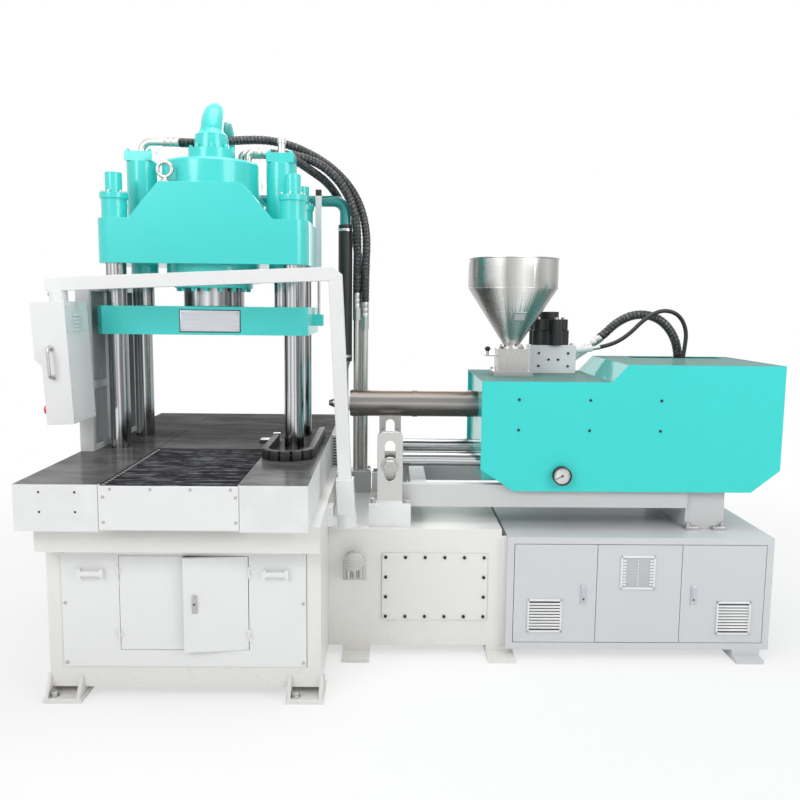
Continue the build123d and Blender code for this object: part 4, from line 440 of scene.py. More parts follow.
class MachineColours(bpy.types.PropertyGroup):
    """Paint and metal colours of the machine."""

    white: colour_of("Sheet white", "Cool white of the sheet parts", (0.80, 0.805, 0.81))
    warm_white: colour_of("Base white", "Warmer white of the base and tank", (0.79, 0.785, 0.76))
    teal: colour_of("Turquoise", "Gloss paint of the press head and cover", (0.048, 0.68, 0.645))
    table: colour_of("Table steel", "Ground steel of the table top", (0.105, 0.10, 0.098))
    stop: colour_of("Stop red", "Red of the stop button", (0.62, 0.015, 0.012))


class MachineSizes(bpy.types.PropertyGroup):
    """Sizes of fasteners and hose guards."""

    screw: FloatProperty(
        name="Screw radius", description="Radius of a panel screw head", unit="LENGTH", default=0.0065
    )
    wrap_pitch: FloatProperty(
        name="Wrap pitch", description="Pitch of the hoses' spiral guard", unit="LENGTH", default=0.020
    )


class MachineStudio(bpy.types.PropertyGroup):
    """Camera and light of the studio."""

    camera_place: FloatVectorProperty(
        name="Camera", description="Where the camera stands", subtype="XYZ", unit="LENGTH",
        size=3, default=(0.889, -4.101, 1.667),
    )
    camera_turn: FloatVectorProperty(
        name="Camera turn", description="Pitch down, yaw and roll in degrees",
        size=3, default=(6.78, -0.79, 0.57),
    )
    lens: FloatProperty(
        name="Lens", description="Focal length in millimetres", unit="CAMERA", default=36.04
    )
    light: FloatProperty(name="Light", description="Level of all lamps", default=1.0)


def settle():
    """Leave edit mode with nothing selected."""
    if bpy.context.object and bpy.context.object.mode != "OBJECT":
        bpy.ops.object.mode_set(mode="OBJECT")
    bpy.ops.object.select_all(action="DESELECT")


def take(piece):
    """Make one piece the only selected one."""
    settle()
    piece.select_set(True)
    bpy.context.view_layer.objects.active = piece
    return piece


def added(name):
    """Name the piece that was made last, and its mesh."""
    piece = bpy.context.active_object
    piece.name = name
    piece.data.name = name
    return piece


def placed(name):
    """Name a new primitive and put its place and size in its mesh."""
    piece = added(name)
    bpy.ops.object.transform_apply(location=True, rotation=True, scale=True)
    return piece


def linked(name, data):
    """A new object in the scene that shows a mesh or a curve."""
    piece = bpy.data.objects.new(name, data)
    bpy.context.scene.collection.objects.link(piece)
    return piece


def whole(piece):
    """Enter edit mode with all of a piece selected."""
    take(piece)
    bpy.ops.object.mode_set(mode="EDIT")
    bpy.ops.mesh.select_all(action="SELECT")


def pick(piece, test):
    """Enter edit mode with only the faces that pass a test selected."""
    take(piece)
    mesh = piece.data
    for vertex in mesh.vertices:
        vertex.select = False
    for edge in mesh.edges:
        edge.select = False
    for face in mesh.polygons:
        face.select = bool(test(face))
    bpy.ops.object.mode_set(mode="EDIT")
    bpy.ops.mesh.select_mode(type="FACE")


def edge_bevel(piece, width, segments=2, angle=35.0):
    """Add a bevel of the edges that are sharper than an angle."""
    bevel = piece.modifiers.new("Edge", "BEVEL")
    bevel.width = width
    bevel.segments = segments
    bevel.limit_method = "ANGLE"
    bevel.angle_limit = math.radians(angle)
    return bevel


def rounded(piece, width, segments=2, angle=35.0):
    """Bevel a piece's edges, apply that and shade it smooth."""
    take(piece)
    bpy.ops.object.modifier_apply(modifier=edge_bevel(piece, width, segments, angle).name)
    return smooth(piece)


def smooth(piece, angle=38.0):
    """Shade a piece smooth up to an angle."""
    take(piece)
    bpy.ops.object.shade_smooth_by_angle(angle=math.radians(angle))
    settle()
    return piece


def block(name, low, high, edge=0.0015, segments=2):
    """A block between two corners in millimetres, with rounded edges."""
    low, high = Vector(low) * MM, Vector(high) * MM
    settle()
    bpy.ops.mesh.primitive_cube_add(size=1.0, location=(low + high) / 2, scale=high - low)
    return rounded(placed(name), edge, segments)


def turned(name, profile, steps=32, closed=False):
    """Spin a profile of (radius, height) millimetres round the upright axis."""
    mesh = bpy.data.meshes.new(name)
    points = [(radius * MM, 0, height * MM) for radius, height in profile]
    edges = [(i, i + 1) for i in range(len(points) - 1)]
    if closed:
        edges.append((len(points) - 1, 0))
    mesh.from_pydata(points, edges, [])
    piece = linked(name, mesh)
    whole(piece)
    bpy.ops.mesh.spin(steps=steps, angle=math.tau, center=(0, 0, 0), axis=(0, 0, 1))
    bpy.ops.mesh.select_all(action="SELECT")
    bpy.ops.mesh.remove_doubles(threshold=1e-6)
    bpy.ops.mesh.normals_make_consistent(inside=False)
    return smooth(piece)


def cylinder(name, sides, radius, height, middle):
    """A plain cylinder on the upright axis."""
    settle()
    bpy.ops.mesh.primitive_cylinder_add(
        vertices=sides, radius=radius, depth=height, location=(0, 0, middle)
    )
    return placed(name)


def wire_ring(name, radius, thick, steps, sides, place, tip=0.0):
    """A ring of round wire, tipped about the x axis."""
    settle()
    bpy.ops.mesh.primitive_torus_add(
        major_radius=radius, minor_radius=thick, major_segments=steps, minor_segments=sides,
        location=place, rotation=(tip, 0, 0),
    )
    return placed(name)


def recessed(piece, test, border, push):
    """Inset the faces that pass a test and push them in."""
    pick(piece, test)
    bpy.ops.mesh.inset(thickness=border)
    bpy.ops.mesh.extrude_region_move(TRANSFORM_OT_translate={"value": push})
    settle()
    return smooth(piece)


def shifted(piece, test, shift):
    """Move the corners of a piece that pass a test."""
    for vertex in piece.data.vertices:
        if test(vertex.co):
            vertex.co += Vector(shift)
    return piece


def socket_screw(radius, height):
    """A cap screw with its socket, standing on the origin."""
    piece = cylinder("screw_pattern", 24, radius, height, height / 2)
    pick(piece, lambda face: face.normal.z > 0.9)
    bpy.ops.mesh.inset(thickness=radius * 0.16)
    bpy.ops.transform.translate(value=(0, 0, height * 0.10))
    bpy.ops.mesh.inset(thickness=radius * 0.34)
    bpy.ops.mesh.extrude_region_move(TRANSFORM_OT_translate={"value": (0, 0, -height * 0.55)})
    settle()
    return smooth(piece)


def hex_bolt(radius, height):
    """A hexagon head on a washer, standing on the origin."""
    piece = cylinder("bolt_pattern", 6, radius, height, height * 0.75)
    pick(piece, lambda face: face.normal.z > 0.9)
    bpy.ops.mesh.inset(thickness=radius * 0.14)
    bpy.ops.transform.translate(value=(0, 0, height * 0.12))
    washer = cylinder("washer_pattern", 24, radius * 1.22, height * 0.25, height * 0.125)
    return smooth(joined("bolt_pattern", piece, washer), 25.0)


def aimed(point, direction):
    """The place matrix of a pattern that stands on a point in millimetres along a direction."""
    lean = UP.rotation_difference(Vector(direction).normalized()).to_matrix().to_4x4()
    return Matrix.Translation(Vector(point) * MM) @ lean


def copies(name, pattern, places):
    """Copy a pattern to several places, join the copies and remove the pattern."""
    made = []
    for place in places:
        copy = pattern.copy()
        copy.data = pattern.data.copy()
        copy.data.transform(place if isinstance(place, Matrix) else aimed(*place))
        bpy.context.scene.collection.objects.link(copy)
        made.append(copy)
    piece = joined(name, *made)
    bpy.data.objects.remove(pattern)
    return piece


def ring_of(centre, radius, count, direction, start=0.0):
    """Places on a circle in millimetres that all point along one direction."""
    axis = Vector(direction).normalized()
    lean = UP.rotation_difference(axis).to_matrix()
    places = []
    for step in range(count):
        angle = start + math.tau * step / count
        spoke = lean @ Vector((math.cos(angle), math.sin(angle), 0))
        places.append((Vector(centre) + spoke * radius, direction))
    return places


def on_front(y, across, heights):
    """Places on a face that looks to the front, in millimetres."""
    return [((x, y, z), FRONT) for x in across for z in heights]


def on_top(z, across, depths):
    """Places on a face that looks up, in millimetres."""
    return [((x, y, z), UP) for x in across for y in depths]


def joined(name, *pieces):
    """Join pieces to one, and name it."""
    settle()
    for piece in pieces:
        piece.select_set(True)
    bpy.context.view_layer.objects.active = pieces[0]
    if len(pieces) > 1:
        bpy.ops.object.join()
    piece = added(name)
    settle()
    return piece


def moved(piece, matrix):
    """Carry a finished piece to a leaning frame, with its place in its mesh."""
    piece.data.transform(matrix)
    piece.data.update()
    return piece


FINISHES = {}


def dress(piece, finish, body="base"):
    """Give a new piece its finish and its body."""
    piece.data.materials.clear()
    piece.data.materials.append(FINISHES[finish])
    if piece.parent is None and "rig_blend" not in piece:
        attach(piece, body)
    return piece


def shown(name, pattern, places, finish, body="base"):
    """Copy a pattern to its places and dress the joined copies."""
    return dress(copies(name, pattern, places), finish, body)


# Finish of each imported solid, and the rounding of its edges in millimetres
NODE_LOOKS = {
    "warm_white": {"press_base": 2, "oil_tank": 2, "tank_hatch": 1.5},
    "white": {
        "channel_panel": 1.5, "arm_bracket": 2, "arm_post": 2, "arm_beam": 4, "control_box": 2.5,
        "base_front_panel": 1.0, "base_door_left": 1.2, "base_door_right": 1.2, "valve_block": 2,
    },
    "teal": {
        "tie_bar_nuts": 2, "top_platen": 9, "moving_platen": 4,
        "prefill_valve": 2, "prefill_pipe": 2, "injection_housing": 3,
    },
    "dark_teal": {"return_pipe": 2},
    "booster": {"booster_cylinders": 3},
    "cylinder": {"main_cylinder": 3},
    "column": {"tie_bars": 3, "main_ram": 3, "booster_rods": 2},
    "table": {"table_bed": 3, "slide_plate": 2},
    "rod": {"guide_rods": 2},
    "barrel": {"barrel": 1.2},
    "bracket": {"bed_brackets": 2},
    "cabinet": {"cabinet_shell": 1.2, "cabinet_door_left": 1.2, "cabinet_door_right": 1.2},
    "guard": {"safety_guard": 1.2},
    "bed": {"injection_bed": 2},
    "cover": {"injection_cover": 2.5},
    "turned_steel": {
        "sensor_rod": 0.5, "rod_end_block": 3, "nozzle": 1.5, "screw": 1,
        "injection_crosshead": 3, "hopper_base": 2, "hopper_gate": 1,
    },
    "stainless": {"hopper": 0.6},
    "zinc": {"steel_pipes": 1.5},
    "aluminium": {"travel_sensor": 1.2, "filler_cap": 2},
    "grey": {"rear_manifold": 2},
    "iron": {"motor_valve": 3},
    "rubber": {"return_hose": 1.5},
    "black": {"gauge_needle": 0.2, "pressure_gauge": 1.5},
    "fastener": {"box_handle": 0.5},
    "red": {"estop_button": 0.8},
}


class FinishNodes(bpy.types.Operator):
    """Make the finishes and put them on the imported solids, with eased edges"""

    bl_idname = "machine.finish_nodes"
    bl_label = "Finishes"

    def execute(self, context):
        colours = context.scene.machine_colours
        white, warm, teal = colours.white, colours.warm_white, colours.teal
        along_z, along_x = (60.0, 60.0, 1.0), (1.0, 60.0, 60.0)
        round_x, round_z = (90.0, 1.5, 1.5), (1.5, 1.5, 90.0)
        made = {
            "white": painted("sheet_white_paint", white, 0.34, 0.10, 0.15),
            "warm_white": painted("base_white_paint", warm, 0.38, 0.22, 0.12),
            "teal": painted("turquoise_paint", teal, 0.26, 0.0, 0.45),
            "dark_teal": painted("dark_turquoise_paint", shade(teal, 0.45), 0.3, 0.0, 0.4),
            "booster": two_tone("booster_paint", teal, 2.4005, (0.62, 0.61, 0.58)),
            "cylinder": two_tone("cylinder_paint", teal, 2.3505, (0.58, 0.58, 0.56)),
            # Chrome, stainless and barrel carry painted reflection bands by the way each surface faces.
            "column": reflection_banded(
                "column_chrome", (0.92, 0.93, 0.95), GROUND_REFLECTIONS, 0, 0.12, round_z, paint=tuple(teal), limit=2.1
            ),
            "rod": reflection_banded("rod_chrome", (0.90, 0.91, 0.93), GROUND_REFLECTIONS, 2, 0.14, round_x),
            "barrel": reflection_banded(
                "heated_barrel", (0.46, 0.44, 0.42), BARREL_REFLECTIONS, 2, 0.26, round_x, tint=(0.16, 0.11, 0.08)
            ),
            "grey": painted("machine_grey_paint", (0.50, 0.51, 0.52), 0.4),
            "cabinet": painted("cabinet_paint", (0.62, 0.635, 0.655), 0.36, 0.08, 0.12),
            "guard": painted("guard_paint", shade(white, 0.72), 0.36, 0.06, 0.12),
            # Upward faces of the cover turn a dull grey without gloss.
            "cover": painted("cover_paint", teal, 0.26, 0.0, 0.7, top_greying=0.9),
            # Painted shade: the bed is the sheet white darkened by about a quarter.
            "bed": painted("shaded_bed_paint", shade(white, 0.76), 0.36, 0.06, 0.12),
            "bracket": two_tone("bracket_paint", white, 0.742, (0.62, 0.62, 0.60)),
            "table": scratched_table("table_top_steel", colours.table, white),
            "turned_steel": machined("turned_steel", (0.52, 0.51, 0.50), 0.30, round_x, 8.0, 0.05),
            # Painted reflection bands, by the way the surface faces.
            "stainless": reflection_banded("brushed_stainless", (0.98, 0.98, 0.96), ROLLED_REFLECTIONS, 0, 0.24, round_z),
            "zinc": machined("plated_tube", (0.58, 0.58, 0.56), 0.32, along_z, 6.0, 0.03),
            "aluminium": machined("anodised_profile", (0.68, 0.69, 0.70), 0.36, along_z, 7.0, 0.03),
            "fastener": machined("fastener_steel", (0.55, 0.55, 0.54), 0.34, along_x, 12.0, 0.03),
            "plate": machined("plain_plate", (0.60, 0.62, 0.66), 0.32, along_x, 9.0, 0.03),
            "iron": cast("black_casting", (0.022, 0.022, 0.024), 0.5),
            "rubber": moulded("hose_rubber", (0.016, 0.016, 0.017), 0.42),
            "wrap": moulded(
                "spiral_guard", (0.045, 0.045, 0.048), 0.24, 500.0, 0.03, scuff=(0.24, 0.24, 0.245)
            ),
            # The pale second colour is a painted highlight with rubbed wear on the bellows' crests.
            "bellows": folded("bellows_skin", (0.010, 0.010, 0.011), (0.22, 0.225, 0.245)),
            "black": moulded("black_plastic", (0.018, 0.018, 0.019), 0.45),
            # Near black for the dark joints of seams, and as painted shade in slots, vents and keyholes.
            "dark": moulded("dark_joint_and_hole_shade", (0.03, 0.03, 0.032), 0.7),
            "red": moulded("red_plastic", colours.stop, 0.25, 900.0, 0.02),
            "dial": moulded("dial_white", (0.78, 0.78, 0.76), 0.3, 900.0, 0.01),
            "screen": glass_screen("display_glass", (0.012, 0.016, 0.022)),
        }
        for key, finish in made.items():
            FINISHES[key] = finish.material
        for key, nodes in NODE_LOOKS.items():
            for name, edge in nodes.items():
                self.ease(NODES[name], edge * MM)
                NODES[name].data.materials.clear()
                NODES[name].data.materials.append(FINISHES[key])
        return {"FINISHED"}

    def ease(self, node, edge):
        """Weld the loose facets, merge flat ones and round the edges."""
        take(node)
        bpy.ops.object.shade_smooth()
        weld = node.modifiers.new("Weld", "WELD")
        weld.merge_threshold = WELD_GAP
        flat = node.modifiers.new("Flat", "DECIMATE")
        flat.decimate_type = "DISSOLVE"
        flat.angle_limit = FLAT_ANGLE
        edge_bevel(node, edge)
        even = node.modifiers.new("Even", "WEIGHTED_NORMAL")
        even.weight = 80
        settle()


def hose_curve(name, route, diameter):
    """A hose as one smooth spline through its route."""
    curve = bpy.data.curves.new(name + "_line", "CURVE")
    curve.dimensions = "3D"
    curve.bevel_depth = diameter / 2
    curve.bevel_resolution = 5
    curve.resolution_u = 10
    curve.use_fill_caps = True
    spline = curve.splines.new("NURBS")
    spline.points.add(len(route) - 1)
    for point, place in zip(spline.points, route):
        point.co = (*place, 1.0)
    spline.order_u = 3
    spline.use_endpoint_u = True
    return linked(name + "_line", curve)


def line_points(piece):
    """Points along a hose's own spline."""
    depth = piece.data.bevel_depth
    piece.data.bevel_depth = 0.0
    bpy.context.view_layer.update()
    graph = bpy.context.evaluated_depsgraph_get()
    found = bpy.data.meshes.new_from_object(piece.evaluated_get(graph))
    points = [vertex.co.copy() for vertex in found.vertices]
    bpy.data.meshes.remove(found)
    piece.data.bevel_depth = depth
    return points


def spiral_guard(name, points, radius, pitch, start, stop):
    """A flat plastic strip wound round a hose between two distances from its start."""
    steps = 14
    rows = []
    travelled = 0.0
    side = None
    for before, after in zip(points, points[1:]):
        length = (after - before).length
        tangent = (after - before).normalized()
        if side is None:
            side = tangent.orthogonal().normalized()
        side = (side - tangent * side.dot(tangent)).normalized()
        cross = tangent.cross(side)
        count = max(1, round(length / pitch * steps))
        for step in range(count):
            here = travelled + length * step / count
            if start <= here <= stop:
                angle = math.tau * here / pitch
                spoke = side * math.cos(angle) + cross * math.sin(angle)
                rows.append((before.lerp(after, step / count), spoke, tangent))
        travelled += length
    half = pitch * 0.36
    section = [(-half, 0.0), (-half * 0.85, 0.0016), (half * 0.85, 0.0016), (half, 0.0)]
    points_out = [
        centre + spoke * (radius + rise) + tangent * run
        for centre, spoke, tangent in rows
        for run, rise in section
    ]
    faces = []
    for row in range(len(rows) - 1):
        for column in range(4):
            a = row * 4 + column
            b = row * 4 + (column + 1) % 4
            faces.append((a, a + 4, b + 4, b))
    faces.append((0, 1, 2, 3))
    last = (len(rows) - 1) * 4
    faces.append((last + 3, last + 2, last + 1, last))
    mesh = bpy.data.meshes.new(name)
    mesh.from_pydata(points_out, [], faces)
    piece = linked(name, mesh)
    whole(piece)
    bpy.ops.mesh.normals_make_consistent(inside=False)
    return smooth(piece, 40.0)


def ferrule(radius, length):
    """A crimped hose end with two grooves."""
    r = radius / MM
    h = length / MM
    profile = [
        (0, 0), (r + 1.0, 0), (r + 1.0, h * .22), (r + 0.2, h * .25), (r + 0.2, h * .30),
        (r + 1.2, h * .33), (r + 1.2, h * .55), (r + 0.3, h * .58), (r + 0.3, h * .62),
        (r + 1.2, h * .65), (r + 1.2, h * .95), (r + 0.4, h), (0, h),
    ]
    return turned("ferrule_pattern", profile, 28)


class MakeHoses(bpy.types.Operator):
    """Lay the free hoses with their spiral guards and crimped ends"""

    bl_idname = "machine.make_hoses"
    bl_label = "Hoses"

    def execute(self, context):
        pitch = context.scene.machine_sizes.wrap_pitch
        for name, (body, length, diameter, route) in HOSES.items():
            hose = hose_curve(name, route, diameter)
            points = line_points(hose)
            reach = sum((after - before).length for before, after in zip(points, points[1:]))
            crimp = diameter * CRIMP_SHARE
            places = [
                aimed(points[0] / MM, points[2] - points[0]),
                aimed(points[-1] / MM, points[-3] - points[-1]),
            ]
            plating = "zinc" if body == "base" else "fastener"
            parts = [shown(name + "_crimps", ferrule(diameter / 2, crimp), places, plating, body)]
            if diameter > THIN_HOSE:
                bare = crimp * 1.15
                guard = spiral_guard(name + "_guard", points, diameter / 2, pitch, bare, reach - bare)
                parts.append(dress(guard, "wrap", body))
            dress(hose, "rubber", body)
            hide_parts(name)
        return {"FINISHED"}


def node_copy(name, node):
    """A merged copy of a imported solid, as a start for its dressed piece."""
    settle()
    piece = NODES[node].copy()
    piece.data = NODES[node].data.copy()
    piece.modifiers.clear()
    piece.parent = None
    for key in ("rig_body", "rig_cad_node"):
        if key in piece:
            del piece[key]
    bpy.context.scene.collection.objects.link(piece)
    take(piece)
    bpy.ops.mesh.customdata_custom_splitnormals_clear()
    whole(piece)
    bpy.ops.mesh.remove_doubles(threshold=WELD_GAP)
    bpy.ops.mesh.dissolve_limited(angle_limit=FLAT_ANGLE)
    bpy.ops.mesh.normals_make_consistent(inside=False)
    settle()
    return added(name)


class MakeSlideway(bpy.types.Operator):
    """Dress the bellows, the cable chain and the table's front"""

    bl_idname = "machine.make_slideway"
    bl_label = "Slideway"

    def execute(self, context):
        skin = rounded(node_copy("bellows_skin", "bellows"), 0.0022, 2, 25.0)
        self.flatten(dress(skin, "bellows"))
        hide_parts("bellows")
        clip = block("fold_clip", (-237, -5, 953.4), (-223, 5, 956.4), 0.001, 1)
        places = [Matrix.Translation((0, -1.0016 + 0.03275 * fold, 0)) for fold in range(24)]
        self.flatten(shown("bellows_clips", clip, places, "fastener"))
        self.chain_clamp()
        chain = rounded(node_copy("chain_links", "cable_chain"), 0.003, 2, 35.0)
        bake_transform(chain, "base", "slide", start=(0.512, -0.4, 0.98), end=(0.336, -0.4, 0.98))
        dress(chain, "black")
        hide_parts("cable_chain")
        screw = context.scene.machine_sizes.screw
        places = on_front(TABLE_FRONT, (-197, -40, 116, 273), (942,))
        places += on_front(TABLE_FRONT, (-225, 292), (911, 810))
        shown("channel_panel_screws", socket_screw(screw, screw * 0.2), places, "fastener")
        plug = turned("plug_pattern", [(0, 0.6), (4, 0.6), (5, 0), (0, 0)], 16)
        shown("table_plugs", plug, on_front(TABLE_FRONT, (-474, -334), (929, 850)), "black")
        return {"FINISHED"}

    def flatten(self, piece):
        """Give a piece of the bellows its own copy of its mesh."""
        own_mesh(piece)

    def chain_clamp(self):
        """The plated clamp that holds the chain's end, and its foot plate."""
        clamp = block("clamp", (300, -62, 1006.4), (336, -34, 1012), 0.0012)
        foot = block("foot", (230, -44, 972), (302, 22, 974.4), 0.0008)
        dress(joined("chain_clamp", clamp, foot), "fastener", "slide")


class MakePressHead(bpy.types.Operator):
    """Add the fasteners, weld neck, lifting eyes and blank plate of the press head"""

    bl_idname = "machine.make_press_head"
    bl_label = "Press head"

    def execute(self, context):
        places = []
        for column, up in on_top(2179, (-424, 424), (-198, 198)):
            places += ring_of(column, 54, 6, up, 0.4)
        shown("nut_screws", socket_screw(0.007, 0.010), places, "fastener")
        shown("gland_bolts", hex_bolt(0.011, 0.012), ring_of((0, 0, 1740), 174, 16, DOWN), "teal")
        shown("valve_screws", socket_screw(0.010, 0.018), ring_of((0, 0, 2417), 100, 8, UP, 0.2), "teal")
        places = ring_of((0, 0, VALVE_TOP), 70, 8, UP, 0.2)
        places += ring_of((0, 340, 2350), 68, 8, UP) + ring_of((0, 340, 2310), 68, 8, DOWN)
        shown("pipe_flange_bolts", hex_bolt(0.010, 0.012), places, "teal")
        neck = turned("valve_collar", [(56, 0), (80, 0), (80, 16), (74, 20), (60, 34), (56, 46)], 48)
        shown("valve_weld_neck", neck, [((0, 0, VALVE_TOP), UP)], "teal")
        across = [side * 345 + offset for side in (-1, 1) for offset in (-52, 52)]
        shown("booster_screws", socket_screw(0.009, 0.010), on_top(2400, across, (-52, 52)), "teal")
        self.lifting_eyes()
        self.blank_plate()
        return {"FINISHED"}

    def lifting_eyes(self):
        """Two forged eyes on the rib tops, their rings facing front and back."""
        ring = wire_ring("eye_ring", 0.0335, 0.009, 40, 14, (0, 0, 0.058), math.radians(90))
        outline = [(0, 0), (24, 0), (24, 5), (20, 8), (14, 14), (12, 22), (0, 22)]
        eye = smooth(joined("eye_pattern", ring, turned("eye_foot", outline, 32)))
        places = [((-170, -239, 2227), UP), ((170, 239, 2227), UP)]
        shown("lifting_eyes", eye, places, "fastener")

    def blank_plate(self):
        """A blank plate with a raised border and four rivets on the moving platen."""
        plate = block("blank_plate", (-101, -288, 1532), (180, -284.6, 1631), 0.0012)
        recessed(plate, lambda face: face.normal.y < -0.9 and face.area > 0.005, 0.006, (0, 0.0012, 0))
        dress(plate, "plate", "platen")
        border = block("plate_border", (-105, -286.2, 1528), (184, -284.6, 1635), 0.0006)
        dress(border, "black", "platen")
        rivet = turned("rivet", [(0, 2.2), (2.6, 1.6), (4.2, 0), (0, 0)], 16)
        shown("plate_rivets", rivet, on_front(-286.8, (-90, 169), (1543, 1620)), "fastener", "platen")


class MakeBase(bpy.types.Operator):
    """Add the screws, latch, seams and anchor nuts of the press base, and the duct beside its table"""

    bl_idname = "machine.make_base"
    bl_label = "Press base"

    def execute(self, context):
        radius = context.scene.machine_sizes.screw
        places = on_front(PANEL_FRONT, (-455, 537), (159, 419, 640))
        shown("panel_screws", socket_screw(radius, radius * 0.7), places, "fastener")
        self.latch()
        edges = (((-472, 138), (-470, 662)), ((550, 138), (552, 662)), ((-472, 138), (552, 140)))
        seams = [block("seam", (a, -860.6, b), (c, -859.8, d), 0.0002, 1) for (a, b), (c, d) in edges]
        dress(joined("panel_seams", *seams), "dark")
        dress(block("table_ledge", (572, -950, 770.6), (614, 950, 773.2), 0.0008), "warm_white")
        dress(block("cable_duct", (577, 250, 773), (613, 296, 952), 0.002), "grey")
        # The duct's slots are dark strips on its face: painted shade inside the openings.
        heights = range(786, 940, 16)
        slots = [block("slot", (583, 249.2, z), (607, 250.4, z + 8), 0.0002, 1) for z in heights]
        dress(joined("duct_slot_shades", *slots), "dark")
        shown("anchor_nuts", hex_bolt(0.016, 0.016), on_top(20, (-505, 505), (-887.5, 887.5)), "fastener")
        return {"FINISHED"}

    def latch(self):
        """A plated paddle latch with a raised lever, and a dark plate as the painted shade of its keyhole,
        on the leaf that stands ajar.
        """
        plate = block("latch_plate", (77, -867, 384), (99, -863.8, 465), 0.001)
        lever = block("latch_lever", (81, -877, 405), (95, -866.8, 450), 0.003, 3)
        hinge = block("latch_hinge", (80, -874, 446), (96, -866.8, 456), 0.002)
        latch = joined("door_latch", plate, lever, hinge)
        dress(moved(latch, AJAR), "fastener", "base_leaf_right")
        # Painted shade: a dark plate stands for the keyhole's hollow.
        slot = block("latch_keyhole_shade", (84, -878, 424), (92, -876.6, 432), 0.0004)
        dress(moved(slot, AJAR), "dark", "base_leaf_right")


class MakeTank(bpy.types.Operator):
    """Add the hatch's bolts and its grey border (a gasket and painted shade along the hatch's edge), the
    joint strip and the filler of the tank
    """

    bl_idname = "machine.make_tank"
    bl_label = "Oil tank"

    def execute(self, context):
        left, right, low, high = 880, 1344, 196, 485
        third = (high - low) / 3
        columns = [left + (right - left) * step / 5 for step in range(6)]
        places = on_front(HATCH_FRONT, columns, (low, high))
        places += on_front(HATCH_FRONT, (left, right), (low + third, high - third))
        shown("hatch_bolts", socket_screw(0.0075, 0.007), places, "black")
        # Grey border round the hatch: a gasket, and painted shade along the hatch's edge.
        dress(block("hatch_gasket_shade", (860.5, -433, 176.5), (1363.5, -430, 504.5), 0.001), "grey")
        dress(block("tank_joint_strip", (1424, -433, 52), (1452, -429.8, 590), 0.0012), "warm_white")
        self.filler()
        return {"FINISHED"}

    def filler(self):
        """A ribbed breather cap over a strainer plate with three rods."""
        x, z = 733, 480
        grip = [(43.5, 0), (45, 3), (45, 10), (42.6, 12), (42.6, 30), (45, 32), (45, 44), (40, 47)]
        cap = turned("cap_pattern", [(0, 0), *grip, (0, 47)], 40)
        shown("filler_grip", cap, [((x, -456, z), FRONT)], "fastener")
        rib = block("cap_rib", (-3, -503, 40.5), (3, -468, 45.4), 0.001)
        middle = Matrix.Translation((x * MM, 0, z * MM))
        turns = [middle @ Matrix.Rotation(math.tau * step / 16, 4, "Y") for step in range(16)]
        shown("cap_ribs", rib, turns, "plate")
        plate = block("strainer_plate", (x - 55, -436, 372), (x + 55, -429.8, 468), 0.002)
        dress(plate, "fastener")
        rod = turned("strainer_rod", [(0, 0), (10, 0), (12, 2), (12, 64), (10, 66), (0, 66)], 24)
        shown("strainer_rods", rod, on_top(382, (x - 29, x, x + 29), (-440,)), "fastener")


class MakeCabinet(bpy.types.Operator):
    """Add the grilles, seams and locks of the electrical cabinet"""

    bl_idname = "machine.make_cabinet"
    bl_label = "Cabinet"

    def execute(self, context):
        vents = (
            ("left", 1631, 216, "cabinet_leaf_left"),
            ("centre", 2065, 428, "base"),
            ("right", 2528, 208, "cabinet_leaf_right"),
        )
        for name, x, z, body in vents:
            filtered = name == "centre"
            low, high = (x - 71, -472.6, z - 71), (x + 71, CABINET_SEAT, z + 71)
            # Behind an open grille a near-black plate is painted shade for the cabinet's inside; behind the
            # filtered one a grey plate is its filter cloth.
            back = block("vent_shade_plate_" + name, low, high, 0.0004)
            dress(back, "grey" if filtered else "dark", body)
            dress(self.grille("vent_" + name, x, z, filtered), "white", body)
        seams = [
            block("seam", (1875, -470.5, z - 1.2), (2273, CABINET_SEAT, z + 1.2), 0.0002, 1)
            for z in (83.5, 561.5)
        ]
        dress(joined("middle_panel_seams", *seams), "dark")
        for name, x, body in (("left", 1812, "cabinet_leaf_left"), ("right", 2334, "cabinet_leaf_right")):
            dress(self.lock("lock_" + name, x), "plate", body)
            # Each keyhole is a dark disc on the lock: painted shade inside the hole.
            hole = turned("keyhole", [(0, 0.8), (4.5, 0.8), (5, 0), (0, 0)], 20)
            shown("keyhole_" + name, hole, [((x, -479, 298), FRONT)], "dark", body)
        return {"FINISHED"}

    def lock(self, name, x):
        """A flush lever lock: a framed plate with a swing handle."""
        plate = block(name + "_plate", (x - 14, -475, 272), (x + 14, CABINET_SEAT, 366), 0.002)
        handle = block(name + "_handle", (x - 8, -479.5, 308), (x + 8, -474.5, 360), 0.003, 3)
        boss = block(name + "_boss", (x - 8, -479, 284), (x + 8, -474.5, 306), 0.003, 3)
        return joined(name, plate, handle, boss)

    def grille(self, name, x, z, filtered):
        """A raised frame with sloping louvre blades, or with short teeth beside a filter cloth."""
        sides = ((-81, -81, 81, -71), (-81, 71, 81, 81), (-81, -81, -73, 81), (73, -81, 81, 81))
        bars = [
            block(name + "_bar", (x + left, -479, z + low), (x + right, CABINET_SEAT, z + high), 0.0018)
            for left, low, right, high in sides
        ]
        spans = ((-74, -56), (56, 74), (-2, 2)) if filtered else ((-74, 74),)
        for row in range(9):
            middle = z - 58 + row * 14.5
            for left, right in spans:
                low, high = (x + left, -480, middle - 4), (x + right, -472, middle + 4)
                blade = block(name + "_blade", low, high, 0.001)
                bars.append(shifted(blade, lambda at: at.z > middle * MM and at.y < -0.476, (0, 0.005, 0)))
        return smooth(joined(name, *bars), 30.0)


